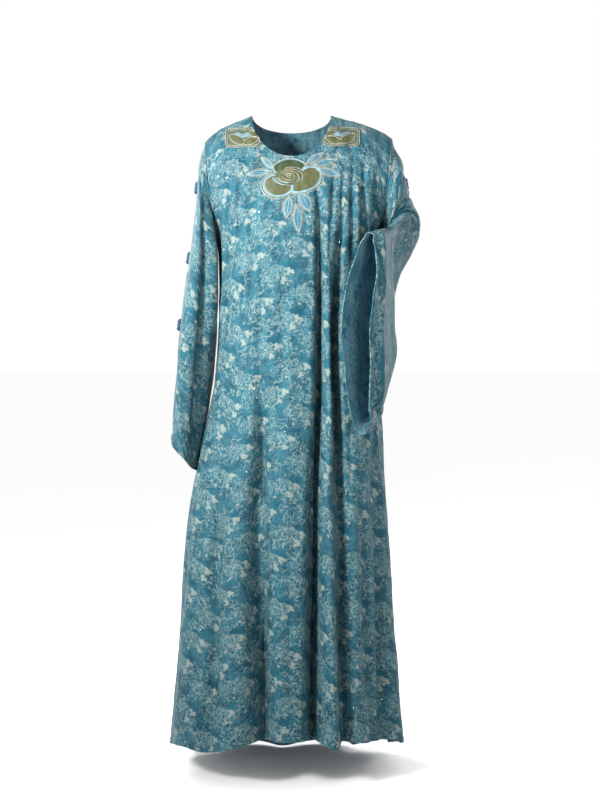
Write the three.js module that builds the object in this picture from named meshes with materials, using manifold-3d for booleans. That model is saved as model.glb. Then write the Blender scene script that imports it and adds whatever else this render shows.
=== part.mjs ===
// A long kaftan in the form it takes when it is worn: an A-line front and back sewn at the sides and
// shoulders, two wide sleeves, a scooped neck, a rose applique on the chest and folded tabs on the sleeves.
// Millimetres, +Z up, -Y is the front and +X is the wearer's left. The origin lies midway between the
// two ends of the neck at the shoulder line, where the wearer's shoulders carry the cloth.

import * as THREE from "three";
import { mergeVertices } from "three/addons/utils/BufferGeometryUtils.js";
import Module from "manifold-3d";

const wasm = await Module();
wasm.setup();

// ---- Driving sizes -------------------------------------------------------------------------------

const WALL = 1.6; // thickness of the cloth wall
const GAP = 0.3; // between pieces at a seam, and under a piece that lies on another
const UNDERARM_Z = -260; // height of the underarm, below the shoulder line
const SECTION_POWER = 2.3; // roundness of the body sections, 2 being an ellipse
const SHOULDER_ROLL = 78; // depth over which the chest rolls back to the shoulder line
const HEM = { side: -1450, frontLift: 52 }; // the front hem rides up and the back hem hangs lower by this
const NECK = { x: -10, half: 90, frontDrop: 101, backDrop: 32 };
const TIP = { right: { x: -205, z: -57 }, left: { x: 216, z: -50 } }; // top ends of the armhole seams
const SHOULDER_ROUND = 0.28; // share of the shoulder's fall that comes in a curve near the tip
const ARMHOLE_BOW = 0.62; // how early the armhole seam swings outwards on its way up

const BODY_ROWS = { lower: 14, upper: 9 }; // rows of the panels below and above the underarm
const SIDE_COLUMNS = 7; // columns from each end of the neck to the side seam, the same on both panels
const FRONT_COLUMNS = 30; // columns across the front's middle
const BACK_COLUMNS = 14; // columns across the back's middle
const CLOSER = { atNeckEnds: 2.5, neckReach: 0.04, atFolds: 0.28, foldReach: 1.3 }; // where columns crowd
const SLEEVE_GRID = { round: 26, along: 20 };
const TAB_LIFT = 0.45; // keeps a tab's straight foot clear of the curved sleeve

const APPLIQUE = 1.2; // thickness of an applied petal, leaf or shoulder patch
const ROSE = { x: -13, z: -156 }; // the middle of the rose, seen from the front
// Applied pieces by where their middle line runs from the rose's middle, their width, where along it they
// are widest, and how blunt their ends are. Each one keeps clear of those above it.
const APPLIED = [
  { name: "rose_heart", from: [-26, 10], to: [24, 12], width: 40, widest: 0.5, blunt: 0.5 },
  { name: "rose_petal_right", from: [4, -30], to: [70, 26], width: 56, widest: 0.6, blunt: 0.5 },
  { name: "rose_petal_left", from: [6, -24], to: [-64, -6], width: 58, widest: 0.55, blunt: 0.5 },
  { name: "rose_petal_back", from: [-38, 26], to: [34, 32], width: 36, widest: 0.5, blunt: 0.6 },
  { name: "leaf_lower_right", from: [22, -28], to: [46, -72], width: 27, widest: 0.5, blunt: 0.9 },
  { name: "leaf_lower_left", from: [-1, -36], to: [-8, -88], width: 24, widest: 0.5, blunt: 0.9 },
  { name: "leaf_lower_middle", from: [14, -58], to: [20, -120], width: 23, widest: 0.5, blunt: 0.9 },
  { name: "leaf_left", from: [-44, 20], to: [-100, 12], width: 17, widest: 0.45, blunt: 1 },
  { name: "leaf_upper_left", from: [-36, 26], to: [-66, 54], width: 15, widest: 0.45, blunt: 0.9 },
  { name: "leaf_right", from: [56, 26], to: [117, 8], width: 18, widest: 0.45, blunt: 1 },
  { name: "leaf_middle_right", from: [48, 32], to: [108, 48], width: 17, widest: 0.45, blunt: 1 },
  { name: "leaf_upper_right", from: [36, 36], to: [78, 64], width: 16, widest: 0.45, blunt: 0.9 },
];
const APPLIED_GAP = 0.6; // between applied pieces that lie side by side
const PATCHES = [
  { name: "shoulder_patch_right", from: -160, to: -78, low: -80, high: -33 },
  { name: "shoulder_patch_left", from: 60, to: 144, low: -78, high: -31 },
];
const PATCH_CORNER = 9;
const OUTLINE_STEPS = 7; // points along each edge of a petal or leaf
const TAB = { length: 25, out: 10, thick: 5, ridges: 3, dip: 1.6 };
// Tabs by sleeve, distance from the armhole along the sleeve's top seam, and place round it.
const TABS = [
  { name: "tab_right_upper", side: -1, distance: 110, round: 0 },
  { name: "tab_right_middle", side: -1, distance: 272, round: 0 },
  { name: "tab_right_lower", side: -1, distance: 428, round: 0 },
  { name: "tab_left_upper", side: 1, distance: 112, round: 0 },
];

// Half sections of the body at heights z. right and left are where the section ends, front and back its
// depths. Above the underarm the widths take in the upper arms, which the chest runs on to.
const BODY = [
  { z: 10, right: -284, left: 286, front: 46, back: 48 },
  { z: -50, right: -276, left: 280, front: 68, back: 74 },
  { z: -100, right: -258, left: 264, front: 87, back: 92 },
  { z: -150, right: -234, left: 240, front: 106, back: 103 },
  { z: -200, right: -208, left: 213, front: 121, back: 107 },
  { z: -235, right: -195, left: 198, front: 128, back: 107 },
  { z: -260, right: -188, left: 190, front: 131, back: 106 },
  { z: -330, right: -179, left: 182, front: 135, back: 101 },
  { z: -467, right: -177, left: 181, front: 130, back: 98 },
  { z: -608, right: -187, left: 189, front: 132, back: 112 },
  { z: -684, right: -202, left: 196, front: 137, back: 122 },
  { z: -776, right: -222, left: 201, front: 144, back: 134 },
  { z: -882, right: -243, left: 206, front: 153, back: 146 },
  { z: -1012, right: -256, left: 215, front: 164, back: 158 },
  { z: -1197, right: -270, left: 224, front: 178, back: 176 },
  { z: -1520, right: -302, left: 248, front: 198, back: 206 },
];

// Folds of the body. Angles run round it in degrees: 0 is the front, -90 and 90 the side seams, 180 the
// back. A fold starts at height from, reaches its depth at height full and stands out, or in below 0.
const FOLDS = [
  { top: -70, hem: -58, from: -800, full: -1450, depth: 10, width: 9 },
  { top: -50, hem: -36, from: -760, full: -1450, depth: -13, width: 5 },
  { top: -32, hem: -20, from: -560, full: -1350, depth: 16, width: 7 },
  { top: -22, hem: -8, from: -520, full: -1300, depth: -44, width: 4.4 },
  { top: -3, hem: 0, from: -420, full: -1300, depth: 12, width: 5 },
  { top: 14.2, hem: 11.5, from: -150, full: -1150, depth: -46, width: 3.4 },
  { top: 19.5, hem: 20.5, from: -130, full: -900, depth: 25, width: 4.4 },
  { top: 24, hem: 28.5, from: -330, full: -1250, depth: -22, width: 3.8 },
  { top: 36, hem: 38, from: -520, full: -1300, depth: 8, width: 4.5 },
  { top: 46, hem: 47, from: -700, full: -1400, depth: -12, width: 4 },
  { top: 62, hem: 59, from: -620, full: -1400, depth: -19, width: 5.5 },
  { top: 77, hem: 75, from: -820, full: -1450, depth: 11, width: 9 },
  { top: 104, hem: 106, from: -760, full: -1400, depth: -17, width: 6 },
  { top: 122, hem: 124, from: -560, full: -1400, depth: 17, width: 8 },
  { top: 139, hem: 142, from: -480, full: -1350, depth: -27, width: 5.5 },
  { top: 160, hem: 161, from: -430, full: -1350, depth: 19, width: 9 },
  { top: 178, hem: 181, from: -400, full: -1300, depth: -31, width: 5.5 },
  { top: -160, hem: -158, from: -450, full: -1350, depth: 18, width: 9 },
  { top: -140, hem: -139, from: -500, full: -1350, depth: -26, width: 5.5 },
  { top: -119, hem: -120, from: -650, full: -1400, depth: 16, width: 8 },
  { top: -103, hem: -101, from: -860, full: -1450, depth: -15, width: 6 },
];
const HEM_DROPS = [
  { at: -36, drop: 24, width: 17 },
  { at: 21, drop: 12, width: 6 },
  { at: 62, drop: -8, width: 14 },
];

// Sleeve sections from the armhole to the cuff. outer lies on the top seam, which carries the tabs, and
// inner on the underarm seam. front and back lie between them.
const RIGHT_SLEEVE = [
  { outer: [-217, 3, -100], front: [-209, -66, -165], inner: [-197, 4, -270], back: [-209, 76, -175] },
  { outer: [-224, 6, -180], front: [-214, -72, -225], inner: [-198, 8, -300], back: [-215, 88, -235] },
  { outer: [-233, 8, -270], front: [-216, -74, -300], inner: [-194, 12, -350], back: [-220, 100, -310] },
  { outer: [-252, 14, -380], front: [-222, -76, -400], inner: [-190, 20, -430], back: [-227, 118, -405] },
  { outer: [-266, 22, -490], front: [-232, -76, -505], inner: [-193, 30, -530], back: [-235, 138, -512] },
  { outer: [-273, 32, -590], front: [-241, -74, -608], inner: [-203, 46, -640], back: [-242, 162, -612] },
  { outer: [-283, 44, -670], front: [-249, -70, -698], inner: [-216, 64, -730], back: [-251, 188, -698] },
  { outer: [-291, 56, -742], front: [-256, -60, -782], inner: [-232, 80, -818], back: [-260, 214, -785] },
];
const LEFT_SLEEVE = [
  { outer: [238, 12, -112], front: [222, -66, -150], inner: [199, 2, -270], back: [222, 76, -165] },
  { outer: [255, 24, -185], front: [231, -68, -180], inner: [203, 2, -284], back: [230, 90, -205] },
  { outer: [272, 32, -232], front: [238, -58, -208], inner: [206, 0, -298], back: [240, 100, -250] },
  { outer: [286, 28, -270], front: [245, -48, -224], inner: [205, -6, -310], back: [246, 88, -312] },
  { outer: [250, -12, -318], front: [238, -64, -236], inner: [202, -34, -345], back: [223, 36, -392] },
  { outer: [230, -88, -450], front: [218, -106, -258], inner: [195, -74, -435], back: [209, -44, -600] },
  { outer: [201, -154, -486], front: [192, -157, -270], inner: [150, -128, -470], back: [181, -114, -674] },
  { outer: [164, -224, -500], front: [163, -208, -280], inner: [100, -180, -498], back: [148, -196, -720] },
];
const RING_POWER = { arm: 2, cuff: 2.6 }; // roundness of the sleeve's rings at the armhole and the cuff

// Folds of a sleeve. round runs from 0 on the top seam by 0.25 at the front to 0.5 at the underarm seam,
// and along from 0 at the armhole to 1 at the cuff. A fold lives between from and to.
const RIGHT_SLEEVE_FOLDS = [
  { round: 0.3, turn: 0.02, from: 0.06, to: 1.05, depth: -17, width: 0.04 },
  { round: 0.2, turn: -0.03, from: 0.3, to: 1.2, depth: 7, width: 0.05 },
  { round: 0.41, turn: 0, from: 0.3, to: 1.1, depth: 6, width: 0.035 },
  { round: 0.62, turn: 0.02, from: 0.15, to: 1.2, depth: -13, width: 0.035 },
  { round: 0.72, turn: 0.02, from: 0.2, to: 1.3, depth: 12, width: 0.045 },
  { round: 0.84, turn: -0.01, from: 0.25, to: 1.25, depth: -14, width: 0.04 },
];
const LEFT_SLEEVE_FOLDS = [
  { round: 0.1, turn: 0, from: 0.6, to: 1, depth: -9, width: 0.06 },
  { round: 0.93, turn: 0, from: 0.55, to: 1.3, depth: 9, width: 0.05 },
  { round: 0.8, turn: 0.01, from: 0.5, to: 1.2, depth: -8, width: 0.035 },
  { round: 0.44, turn: 0.01, from: 0.62, to: 1.2, depth: 9, width: 0.05 },
  { round: 0.6, turn: 0, from: 0.3, to: 0.9, depth: -9, width: 0.05 },
];

// ---- Small maths ---------------------------------------------------------------------------------

const DEGREE = Math.PI / 180;
const mix = (a, b, t) => a + (b - a) * t;
const clamp01 = (t) => Math.min(1, Math.max(0, t));
const smooth = (t) => clamp01(t) ** 2 * (3 - 2 * clamp01(t));
const signedPower = (value, power) => Math.sign(value) * Math.abs(value) ** power;
const bell = (distance, width) => Math.exp(-((distance / width) ** 2));
const steps = (count, from, to) => Array.from({ length: count + 1 }, (_, i) => mix(from, to, i / count));

// A function that reads one column of a table at any height, with no overshoot between its rows.
function column(rows, name) {
  const at = rows.map((row) => row.z);
  const value = rows.map((row) => row[name]);
  const slope = at.slice(1).map((z, i) => (value[i + 1] - value[i]) / (z - at[i]));
  const tangent = value.map((_, i) => {
    const before = slope[Math.max(0, i - 1)];
    const after = slope[Math.min(slope.length - 1, i)];
    return before * after <= 0 ? 0 : (2 * before * after) / (before + after);
  });
  return (z) => {
    let i = at.findIndex((edge, k) => k > 0 && z >= edge) - 1;
    if (i < 0) i = z > at[0] ? 0 : at.length - 2;
    const span = at[i + 1] - at[i];
    const t = clamp01((z - at[i]) / span);
    const hermite = [
      2 * t ** 3 - 3 * t ** 2 + 1,
      t ** 3 - 2 * t ** 2 + t,
      3 * t ** 2 - 2 * t ** 3,
      t ** 3 - t ** 2,
    ];
    return (
      hermite[0] * value[i] +
      hermite[1] * span * tangent[i] +
      hermite[2] * value[i + 1] +
      hermite[3] * span * tangent[i + 1]
    );
  };
}

const section = {
  right: column(BODY, "right"),
  left: column(BODY, "left"),
  front: column(BODY, "front"),
  back: column(BODY, "back"),
};

// The unit normal of a surface function at (u, v), on the side of u crossed with v.
function normalOf(surface, u, v, limits) {
  const step = 1e-3;
  const low = [Math.max(limits.u[0], u - step), Math.max(limits.v[0], v - step)];
  const high = [Math.min(limits.u[1], u + step), Math.min(limits.v[1], v + step)];
  const alongU = surface(high[0], v).sub(surface(low[0], v));
  const alongV = surface(u, high[1]).sub(surface(u, low[1]));
  return alongU.cross(alongV).normalize();
}

// ---- The body ------------------------------------------------------------------------------------

// A panel's columns run across from -1 at the right side seam to 1 at the left one, and its rows up from
// 0 at the hem by 1 at the underarm to 2 at the shoulder line and the neck.
const FRONT = {
  facing: -1,
  depth: section.front,
  neckDrop: NECK.frontDrop,
  columns: FRONT_COLUMNS,
  angle: (across) => 90 * across,
};
const BACK = {
  facing: 1,
  depth: section.back,
  neckDrop: NECK.backDrop,
  columns: BACK_COLUMNS,
  angle: (across) => 180 - 90 * across,
};

const halfAt = (z) => (section.left(z) - section.right(z)) / 2;
const middleAt = (z) => (section.left(z) + section.right(z)) / 2;
const turnBetween = (a, b) => ((((a - b + 180) % 360) + 360) % 360) - 180;

const hemHeight = (angle) =>
  HEM.side +
  HEM.frontLift * Math.cos(angle * DEGREE) -
  HEM_DROPS.reduce((sum, d) => sum + d.drop * bell(turnBetween(angle, d.at), d.width), 0);

// How far the folds push the cloth out at an angle and height.
function foldDepth(angle, z) {
  return FOLDS.reduce((sum, fold) => {
    const fall = clamp01((fold.from - z) / (fold.from - fold.full));
    const centre = mix(fold.top, fold.hem, clamp01((UNDERARM_Z - z) / (UNDERARM_Z - HEM.side)));
    return sum + fold.depth * Math.sin((fall * Math.PI) / 2) * bell(turnBetween(angle, centre), fold.width);
  }, 0);
}

// Where the shoulder line, or its run across the neck, lies at x.
function shoulderHeight(x) {
  const tip = x < NECK.x ? TIP.right : TIP.left;
  const start = NECK.x + Math.sign(tip.x) * NECK.half;
  const t = clamp01((x - start) / (tip.x - start));
  return tip.z * mix(t, t ** 5, SHOULDER_ROUND);
}

// A panel's top edge: shoulder seam, neckline, shoulder seam.
function topEdge(panel, across) {
  const tip = across < 0 ? TIP.right : TIP.left;
  const x = tip.x * Math.abs(across);
  const inNeck = Math.abs(x - NECK.x) / NECK.half;
  const z = inNeck < 1 ? -panel.neckDrop * Math.sqrt(1 - inNeck ** 2) : shoulderHeight(x);
  return [x, z];
}

// The armhole seam, from the underarm at rise 0 to the shoulder tip at 1.
function armholeEdge(side, rise) {
  const tip = side < 0 ? TIP.right : TIP.left;
  const under = side < 0 ? section.right(UNDERARM_Z) : section.left(UNDERARM_Z);
  return [mix(under, tip.x, rise ** (1 / (1 + ARMHOLE_BOW))), mix(UNDERARM_Z, tip.z, rise)];
}

const NECK_ENDS = [(NECK.x - NECK.half) / TIP.right.x, (NECK.x + NECK.half) / TIP.left.x];
const CORNERS = [0, 1].map((rise) => [armholeEdge(-1, rise), armholeEdge(1, rise)]);

// The body's middle surface with no folds.
function bodyBase(panel, across, up) {
  const angle = panel.angle(across);
  const swing = signedPower(Math.sin((across * Math.PI) / 2), 2 / SECTION_POWER);
  if (up <= 1) {
    const z = mix(hemHeight(angle), UNDERARM_Z, up);
    const round = Math.abs(Math.cos((across * Math.PI) / 2)) ** (2 / SECTION_POWER);
    return new THREE.Vector3(middleAt(z) + halfAt(z) * swing, panel.facing * panel.depth(z) * round, z);
  }
  const share = (across + 1) / 2;
  const neckEnd = NECK_ENDS[across < 0 ? 0 : 1];
  const ease = mix(1.2, 2, smooth((Math.abs(across) - 0.4 * neckEnd) / (0.6 * neckEnd)));
  const rise = 1 - (1 - clamp01(up - 1)) ** ease;
  const bottom = [middleAt(UNDERARM_Z) + halfAt(UNDERARM_Z) * swing, UNDERARM_Z];
  const top = topEdge(panel, across);
  const [right, left] = [armholeEdge(-1, rise), armholeEdge(1, rise)];
  const [x, z] = [0, 1].map((k) => {
    const [low, high] = CORNERS.map((ends) => mix(ends[0][k], ends[1][k], share));
    return mix(bottom[k], top[k], rise) + mix(right[k], left[k], share) - mix(low, high, rise);
  });
  const reach = Math.abs(x - middleAt(z)) / halfAt(z);
  const roll = clamp01((shoulderHeight(x) - z) / SHOULDER_ROLL);
  const round = Math.max(0, 1 - reach ** SECTION_POWER) ** (1 / SECTION_POWER);
  return new THREE.Vector3(x, panel.facing * panel.depth(z) * round * Math.sqrt(1 - (1 - roll) ** 2), z);
}

const PANEL_LIMITS = { u: [-1, 1], v: [0, 2] };

// The body's middle surface with its folds, and the outward normal of its plain form.
function bodySurface(panel) {
  const base = (across, up) => bodyBase(panel, across, up);
  return (across, up) => {
    const point = base(across, up);
    const outward = normalOf(base, across, up, PANEL_LIMITS).multiplyScalar(-panel.facing);
    return point.addScaledVector(outward, foldDepth(panel.angle(across), point.z));
  };
}

// A panel's columns: the same steps from the neck's ends to the side seams on both panels, and between
// them steps that are short where the folds are steep.
function panelColumns(panel) {
  const from = -NECK_ENDS[0];
  const span = NECK_ENDS[1] - from;
  const steepness = (across) => {
    const nearNeckEnd = Math.min(...NECK_ENDS.map((end) => Math.abs(Math.abs(across) - Math.abs(end))));
    return FOLDS.reduce(
      (sum, fold) => {
        const away = turnBetween(panel.angle(across), mix(fold.top, fold.hem, 0.8));
        const steep = (CLOSER.atFolds * Math.abs(fold.depth)) / fold.width;
        return sum + steep * bell(away, fold.width * CLOSER.foldReach);
      },
      1 + CLOSER.atNeckEnds * bell(nearNeckEnd, CLOSER.neckReach),
    );
  };
  const slices = 400;
  const sums = [0];
  for (let i = 0; i < slices; i += 1) {
    sums.push(sums[i] + steepness(from + (span * (i + 0.5)) / slices));
  }
  const middle = steps(panel.columns, 0, sums[slices]).map((wanted) => {
    const k = Math.max(1, sums.findIndex((sum) => sum >= wanted - 1e-9));
    return from + (span * (k - 1 + (wanted - sums[k - 1]) / (sums[k] - sums[k - 1]))) / slices;
  });
  const right = steps(SIDE_COLUMNS, -1, from).slice(0, -1);
  const left = steps(SIDE_COLUMNS, NECK_ENDS[1], 1).slice(1);
  return [...right, ...middle, ...left];
}

const BODY_UPS = [...steps(BODY_ROWS.lower, 0, 1), ...steps(BODY_ROWS.upper, 1, 2).slice(1)];

// ---- Walls ---------------------------------------------------------------------------------------

// Points and unit normals of a surface on a grid: rows of v, each with a point for every u.
function sampled(surface, us, vs, limits) {
  return vs.map((v) =>
    us.map((u) => ({ point: surface(u, v), normal: normalOf(surface, u, v, limits) })),
  );
}

// Moves a grid's border along the surface, inwards by inset, or outwards if that is below 0.
function trimmed(grid, inset) {
  const last = { row: grid.length - 1, column: grid[0].length - 1 };
  const pull = (from, to) => to.point.clone().sub(from.point).normalize().multiplyScalar(inset);
  return grid.map((row, r) =>
    row.map((spot, c) => {
      const point = spot.point.clone();
      if (c === 0) point.add(pull(spot, row[1]));
      if (c === last.column) point.add(pull(spot, row[c - 1]));
      if (r === 0) point.add(pull(spot, grid[1][c]));
      if (r === last.row) point.add(pull(spot, grid[r - 1][c]));
      return { point, normal: spot.normal };
    }),
  );
}

// Moves a tube's first ring along its surface, away from the seam it starts at.
function trimmedStart(grid, inset) {
  return grid.map((row, r) =>
    row.map((spot, c) => {
      if (r > 0) return spot;
      const pull = grid[1][c].point.clone().sub(spot.point).normalize().multiplyScalar(inset);
      return { point: spot.point.clone().add(pull), normal: spot.normal };
    }),
  );
}

// A closed wall on a grid, from offset below to offset above along the normals. A tube's rows close.
function wall(grid, below, above, isTube = false) {
  const rows = grid.length;
  const columns = grid[0].length;
  const positions = [];
  for (const offset of [above, below]) {
    for (const row of grid) {
      for (const { point, normal } of row) positions.push(...point.clone().addScaledVector(normal, offset));
    }
  }
  const at = (layer, r, c) => layer * rows * columns + r * columns + (c % columns);
  const end = columns - 1;
  const reach = (r, c, r2, c2) => grid[r][c % columns].point.distanceTo(grid[r2][c2 % columns].point);
  const index = [];
  const quad = (a, b, c, d, turned = false) =>
    turned ? index.push(b, c, d, b, d, a) : index.push(a, b, c, a, c, d);
  const across = isTube ? columns : end;
  for (let c = 0; c < across; c += 1) {
    for (let r = 0; r < rows - 1; r += 1) {
      const turned = reach(r, c + 1, r + 1, c) < reach(r, c, r + 1, c + 1);
      quad(at(0, r, c), at(0, r, c + 1), at(0, r + 1, c + 1), at(0, r + 1, c), turned);
      quad(at(1, r, c), at(1, r + 1, c), at(1, r + 1, c + 1), at(1, r, c + 1), turned);
    }
    quad(at(1, 0, c), at(1, 0, c + 1), at(0, 0, c + 1), at(0, 0, c));
    quad(at(0, rows - 1, c), at(0, rows - 1, c + 1), at(1, rows - 1, c + 1), at(1, rows - 1, c));
  }
  if (!isTube) {
    for (let r = 0; r < rows - 1; r += 1) {
      quad(at(0, r, 0), at(0, r + 1, 0), at(1, r + 1, 0), at(1, r, 0));
      quad(at(1, r, end), at(1, r + 1, end), at(0, r + 1, end), at(0, r, end));
    }
  }
  const geometry = new THREE.BufferGeometry();
  geometry.setAttribute("position", new THREE.Float32BufferAttribute(positions, 3));
  geometry.setIndex(index);
  return geometry;
}

// A geometry as a solid that can be cut, and back.
function solidOf(geometry) {
  const bare = geometry.clone();
  for (const name of Object.keys(bare.attributes)) if (name !== "position") bare.deleteAttribute(name);
  const merged = mergeVertices(bare, 1e-4);
  return new wasm.Manifold(
    new wasm.Mesh({
      numProp: 3,
      vertProperties: new Float32Array(merged.attributes.position.array),
      triVerts: new Uint32Array(merged.index.array),
    }),
  );
}

function geometryOf(solid) {
  const mesh = solid.getMesh();
  const positions = new Float32Array(mesh.numVert * 3);
  for (let i = 0; i < mesh.numVert; i += 1) {
    positions.set(mesh.vertProperties.subarray(i * mesh.numProp, i * mesh.numProp + 3), i * 3);
  }
  const geometry = new THREE.BufferGeometry();
  geometry.setAttribute("position", new THREE.BufferAttribute(positions, 3));
  geometry.setIndex(new THREE.BufferAttribute(mesh.triVerts, 1));
  return geometry;
}

const panelGrid = (panel) => sampled(bodySurface(panel), panelColumns(panel), BODY_UPS, PANEL_LIMITS);
const frontGrid = panelGrid(FRONT);
const backGrid = panelGrid(BACK);

// ---- The sleeves ---------------------------------------------------------------------------------

const SLEEVE_LIMITS = { u: [-9, 9], v: [0, 1] };

// The armhole seam round the sleeve: 0 at the shoulder tip, 0.25 at the front and 0.5 at the underarm.
function armholeLine(side) {
  const halves = [FRONT, BACK].map((panel) => {
    const surface = bodySurface(panel);
    return new THREE.CatmullRomCurve3(steps(60, 2, 1).map((up) => surface(side, up)));
  });
  return (turn) => (turn <= 0.5 ? halves[0].getPointAt(turn * 2) : halves[1].getPointAt(2 - turn * 2));
}

// A value above 0, or nearly 0 below it, with a soft bend between.
const softPlus = (value) => (value + Math.sqrt(value ** 2 + 0.02)) / 2;

// A point of a sleeve's ring, from its row of the table.
function ringPoint(row, round, power) {
  const [outer, front, inner, back] = ["outer", "front", "inner", "back"].map((name) =>
    new THREE.Vector3(...row[name]),
  );
  const centre = outer.clone().add(inner).multiplyScalar(0.5);
  const sine = signedPower(Math.sin(2 * Math.PI * round), 2 / power);
  const cosine = signedPower(Math.cos(2 * Math.PI * round), 2 / power);
  return centre
    .clone()
    .addScaledVector(outer.sub(centre), cosine)
    .addScaledVector(front.sub(centre), softPlus(sine))
    .addScaledVector(back.sub(centre), softPlus(-sine));
}

// A sleeve's middle surface, from the armhole seam through the table's rings to the cuff.
function sleeveSurface(side, rows, folds) {
  const armhole = armholeLine(side);
  const powers = rows.map((_, i) => mix(RING_POWER.arm, RING_POWER.cuff, (i + 1) / rows.length));
  const base = (round, along) => {
    const turn = round - Math.floor(round);
    const points = [armhole(turn), ...rows.map((row, i) => ringPoint(row, turn, powers[i]))];
    return new THREE.CatmullRomCurve3(points, false, "centripetal").getPoint(along);
  };
  return (round, along) => {
    const depth = folds.reduce((sum, fold) => {
      const life = clamp01((along - fold.from) / (fold.to - fold.from));
      const away = round - fold.round - fold.turn * along;
      return sum + fold.depth * Math.sin(life * Math.PI) * bell(away - Math.round(away), fold.width);
    }, 0);
    const outward = normalOf(base, round, along, SLEEVE_LIMITS).multiplyScalar(side);
    return base(round, along).addScaledVector(outward, depth);
  };
}

function sleeveGrid(surface) {
  const rounds = steps(SLEEVE_GRID.round, 0, 1).slice(0, -1);
  return sampled(surface, rounds, steps(SLEEVE_GRID.along, 0, 1), SLEEVE_LIMITS);
}

// A sleeve, cut back where its start would touch the panels that it is sewn to.
function sleeveSolid(surface) {
  const tube = solidOf(wall(trimmedStart(sleeveGrid(surface), GAP / 2), -WALL / 2, WALL / 2, true));
  const room = WALL / 2 + GAP;
  const panels = [frontGrid, backGrid].map((grid) => solidOf(wall(trimmed(grid, -GAP / 2), -room, room)));
  const pieces = panels.reduce((rest, panel) => rest.subtract(panel), tube).decompose();
  return pieces.sort((a, b) => b.volume() - a.volume())[0];
}

// ---- What lies on the panels ---------------------------------------------------------------------

// The outline of a petal or leaf, made bigger all round by grow.
function leafShape({ from, to, width, widest, blunt }, grow) {
  const start = new THREE.Vector2(...from);
  const end = new THREE.Vector2(...to);
  const along = end.clone().sub(start).normalize();
  start.addScaledVector(along, -grow).add(new THREE.Vector2(ROSE.x, ROSE.z));
  end.addScaledVector(along, grow).add(new THREE.Vector2(ROSE.x, ROSE.z));
  const aside = new THREE.Vector2(-along.y, along.x);
  const power = Math.log(0.5) / Math.log(widest);
  const edge = (side) =>
    steps(OUTLINE_STEPS, 0, 1).map((t) => {
      const half = (width / 2 + grow) * Math.sin(Math.PI * t ** power) ** blunt;
      return start.clone().lerp(end, t).addScaledVector(aside, side * half);
    });
  return new THREE.Shape([...edge(1), ...edge(-1).reverse().slice(1, -1)]);
}

function patchShape({ from, to, low, high }) {
  const shape = new THREE.Shape();
  const corner = (x, z, start) =>
    shape.absarc(x, z, PATCH_CORNER, start * DEGREE, (start + 90) * DEGREE, false);
  corner(to - PATCH_CORNER, high - PATCH_CORNER, 0);
  corner(from + PATCH_CORNER, high - PATCH_CORNER, 90);
  corner(from + PATCH_CORNER, low + PATCH_CORNER, 180);
  corner(to - PATCH_CORNER, low + PATCH_CORNER, 270);
  shape.closePath();
  return shape;
}

// An outline as a prism that runs from the shoulder line forwards through the front panel.
function prismOf(shape) {
  const reach = 2 * section.front(UNDERARM_Z);
  const geometry = new THREE.ExtrudeGeometry(shape, { depth: reach, bevelEnabled: false, curveSegments: 4 });
  return solidOf(geometry.rotateX(Math.PI / 2));
}

const skin = solidOf(wall(frontGrid, WALL / 2 + GAP, WALL / 2 + GAP + APPLIQUE));

function appliedPieces() {
  const pieces = PATCHES.map((patch) => [patch.name, skin.intersect(prismOf(patchShape(patch)))]);
  let taken = null;
  for (const leaf of APPLIED) {
    const prism = prismOf(leafShape(leaf, 0));
    pieces.push([leaf.name, skin.intersect(taken ? prism.subtract(taken) : prism)]);
    const room = prismOf(leafShape(leaf, APPLIED_GAP));
    taken = taken ? taken.add(room) : room;
  }
  return pieces;
}

// A folded tab: a flat strip on edge with crosswise ridges along its outer side.
function tabGeometry() {
  const top = steps(TAB.ridges * 4, 0, 1).map((t) => {
    const dip = TAB.dip * Math.cos(TAB.ridges * Math.PI * t) ** 2;
    return new THREE.Vector2((t - 0.5) * TAB.length, TAB.out - dip);
  });
  const foot = [new THREE.Vector2(-TAB.length / 2, 0), new THREE.Vector2(TAB.length / 2, 0)];
  const shape = new THREE.Shape([...foot, ...top.reverse()]);
  const strip = new THREE.ExtrudeGeometry(shape, { depth: TAB.thick, bevelEnabled: false });
  return strip.translate(0, 0, -TAB.thick / 2);
}

// How far along a sleeve, from 0 to 1, a distance in millimetres brings a point.
function alongAt(surface, round, distance) {
  let walked = 0;
  let last = surface(round, 0);
  for (const along of steps(200, 0, 1)) {
    const next = surface(round, along);
    walked += next.distanceTo(last);
    if (walked >= distance) return along;
    last = next;
  }
  return 1;
}

// ---- The garment ---------------------------------------------------------------------------------

const sleeves = new Map([
  [-1, { name: "sleeve_right", surface: sleeveSurface(-1, RIGHT_SLEEVE, RIGHT_SLEEVE_FOLDS) }],
  [1, { name: "sleeve_left", surface: sleeveSurface(1, LEFT_SLEEVE, LEFT_SLEEVE_FOLDS) }],
]);

const CLOTH = { color: 0x4f93a5, roughness: 0.55, metalness: 0 };
const SATIN = { color: 0x7d8041, roughness: 0.4, metalness: 0 };
const DARK_CLOTH = { color: 0x1c4356, roughness: 0.6, metalness: 0 };

const kaftan = new THREE.Group();

function addMesh(name, geometry, look) {
  const mesh = new THREE.Mesh(geometry, new THREE.MeshStandardMaterial(look));
  mesh.name = name;
  kaftan.add(mesh);
  return mesh;
}

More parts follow.
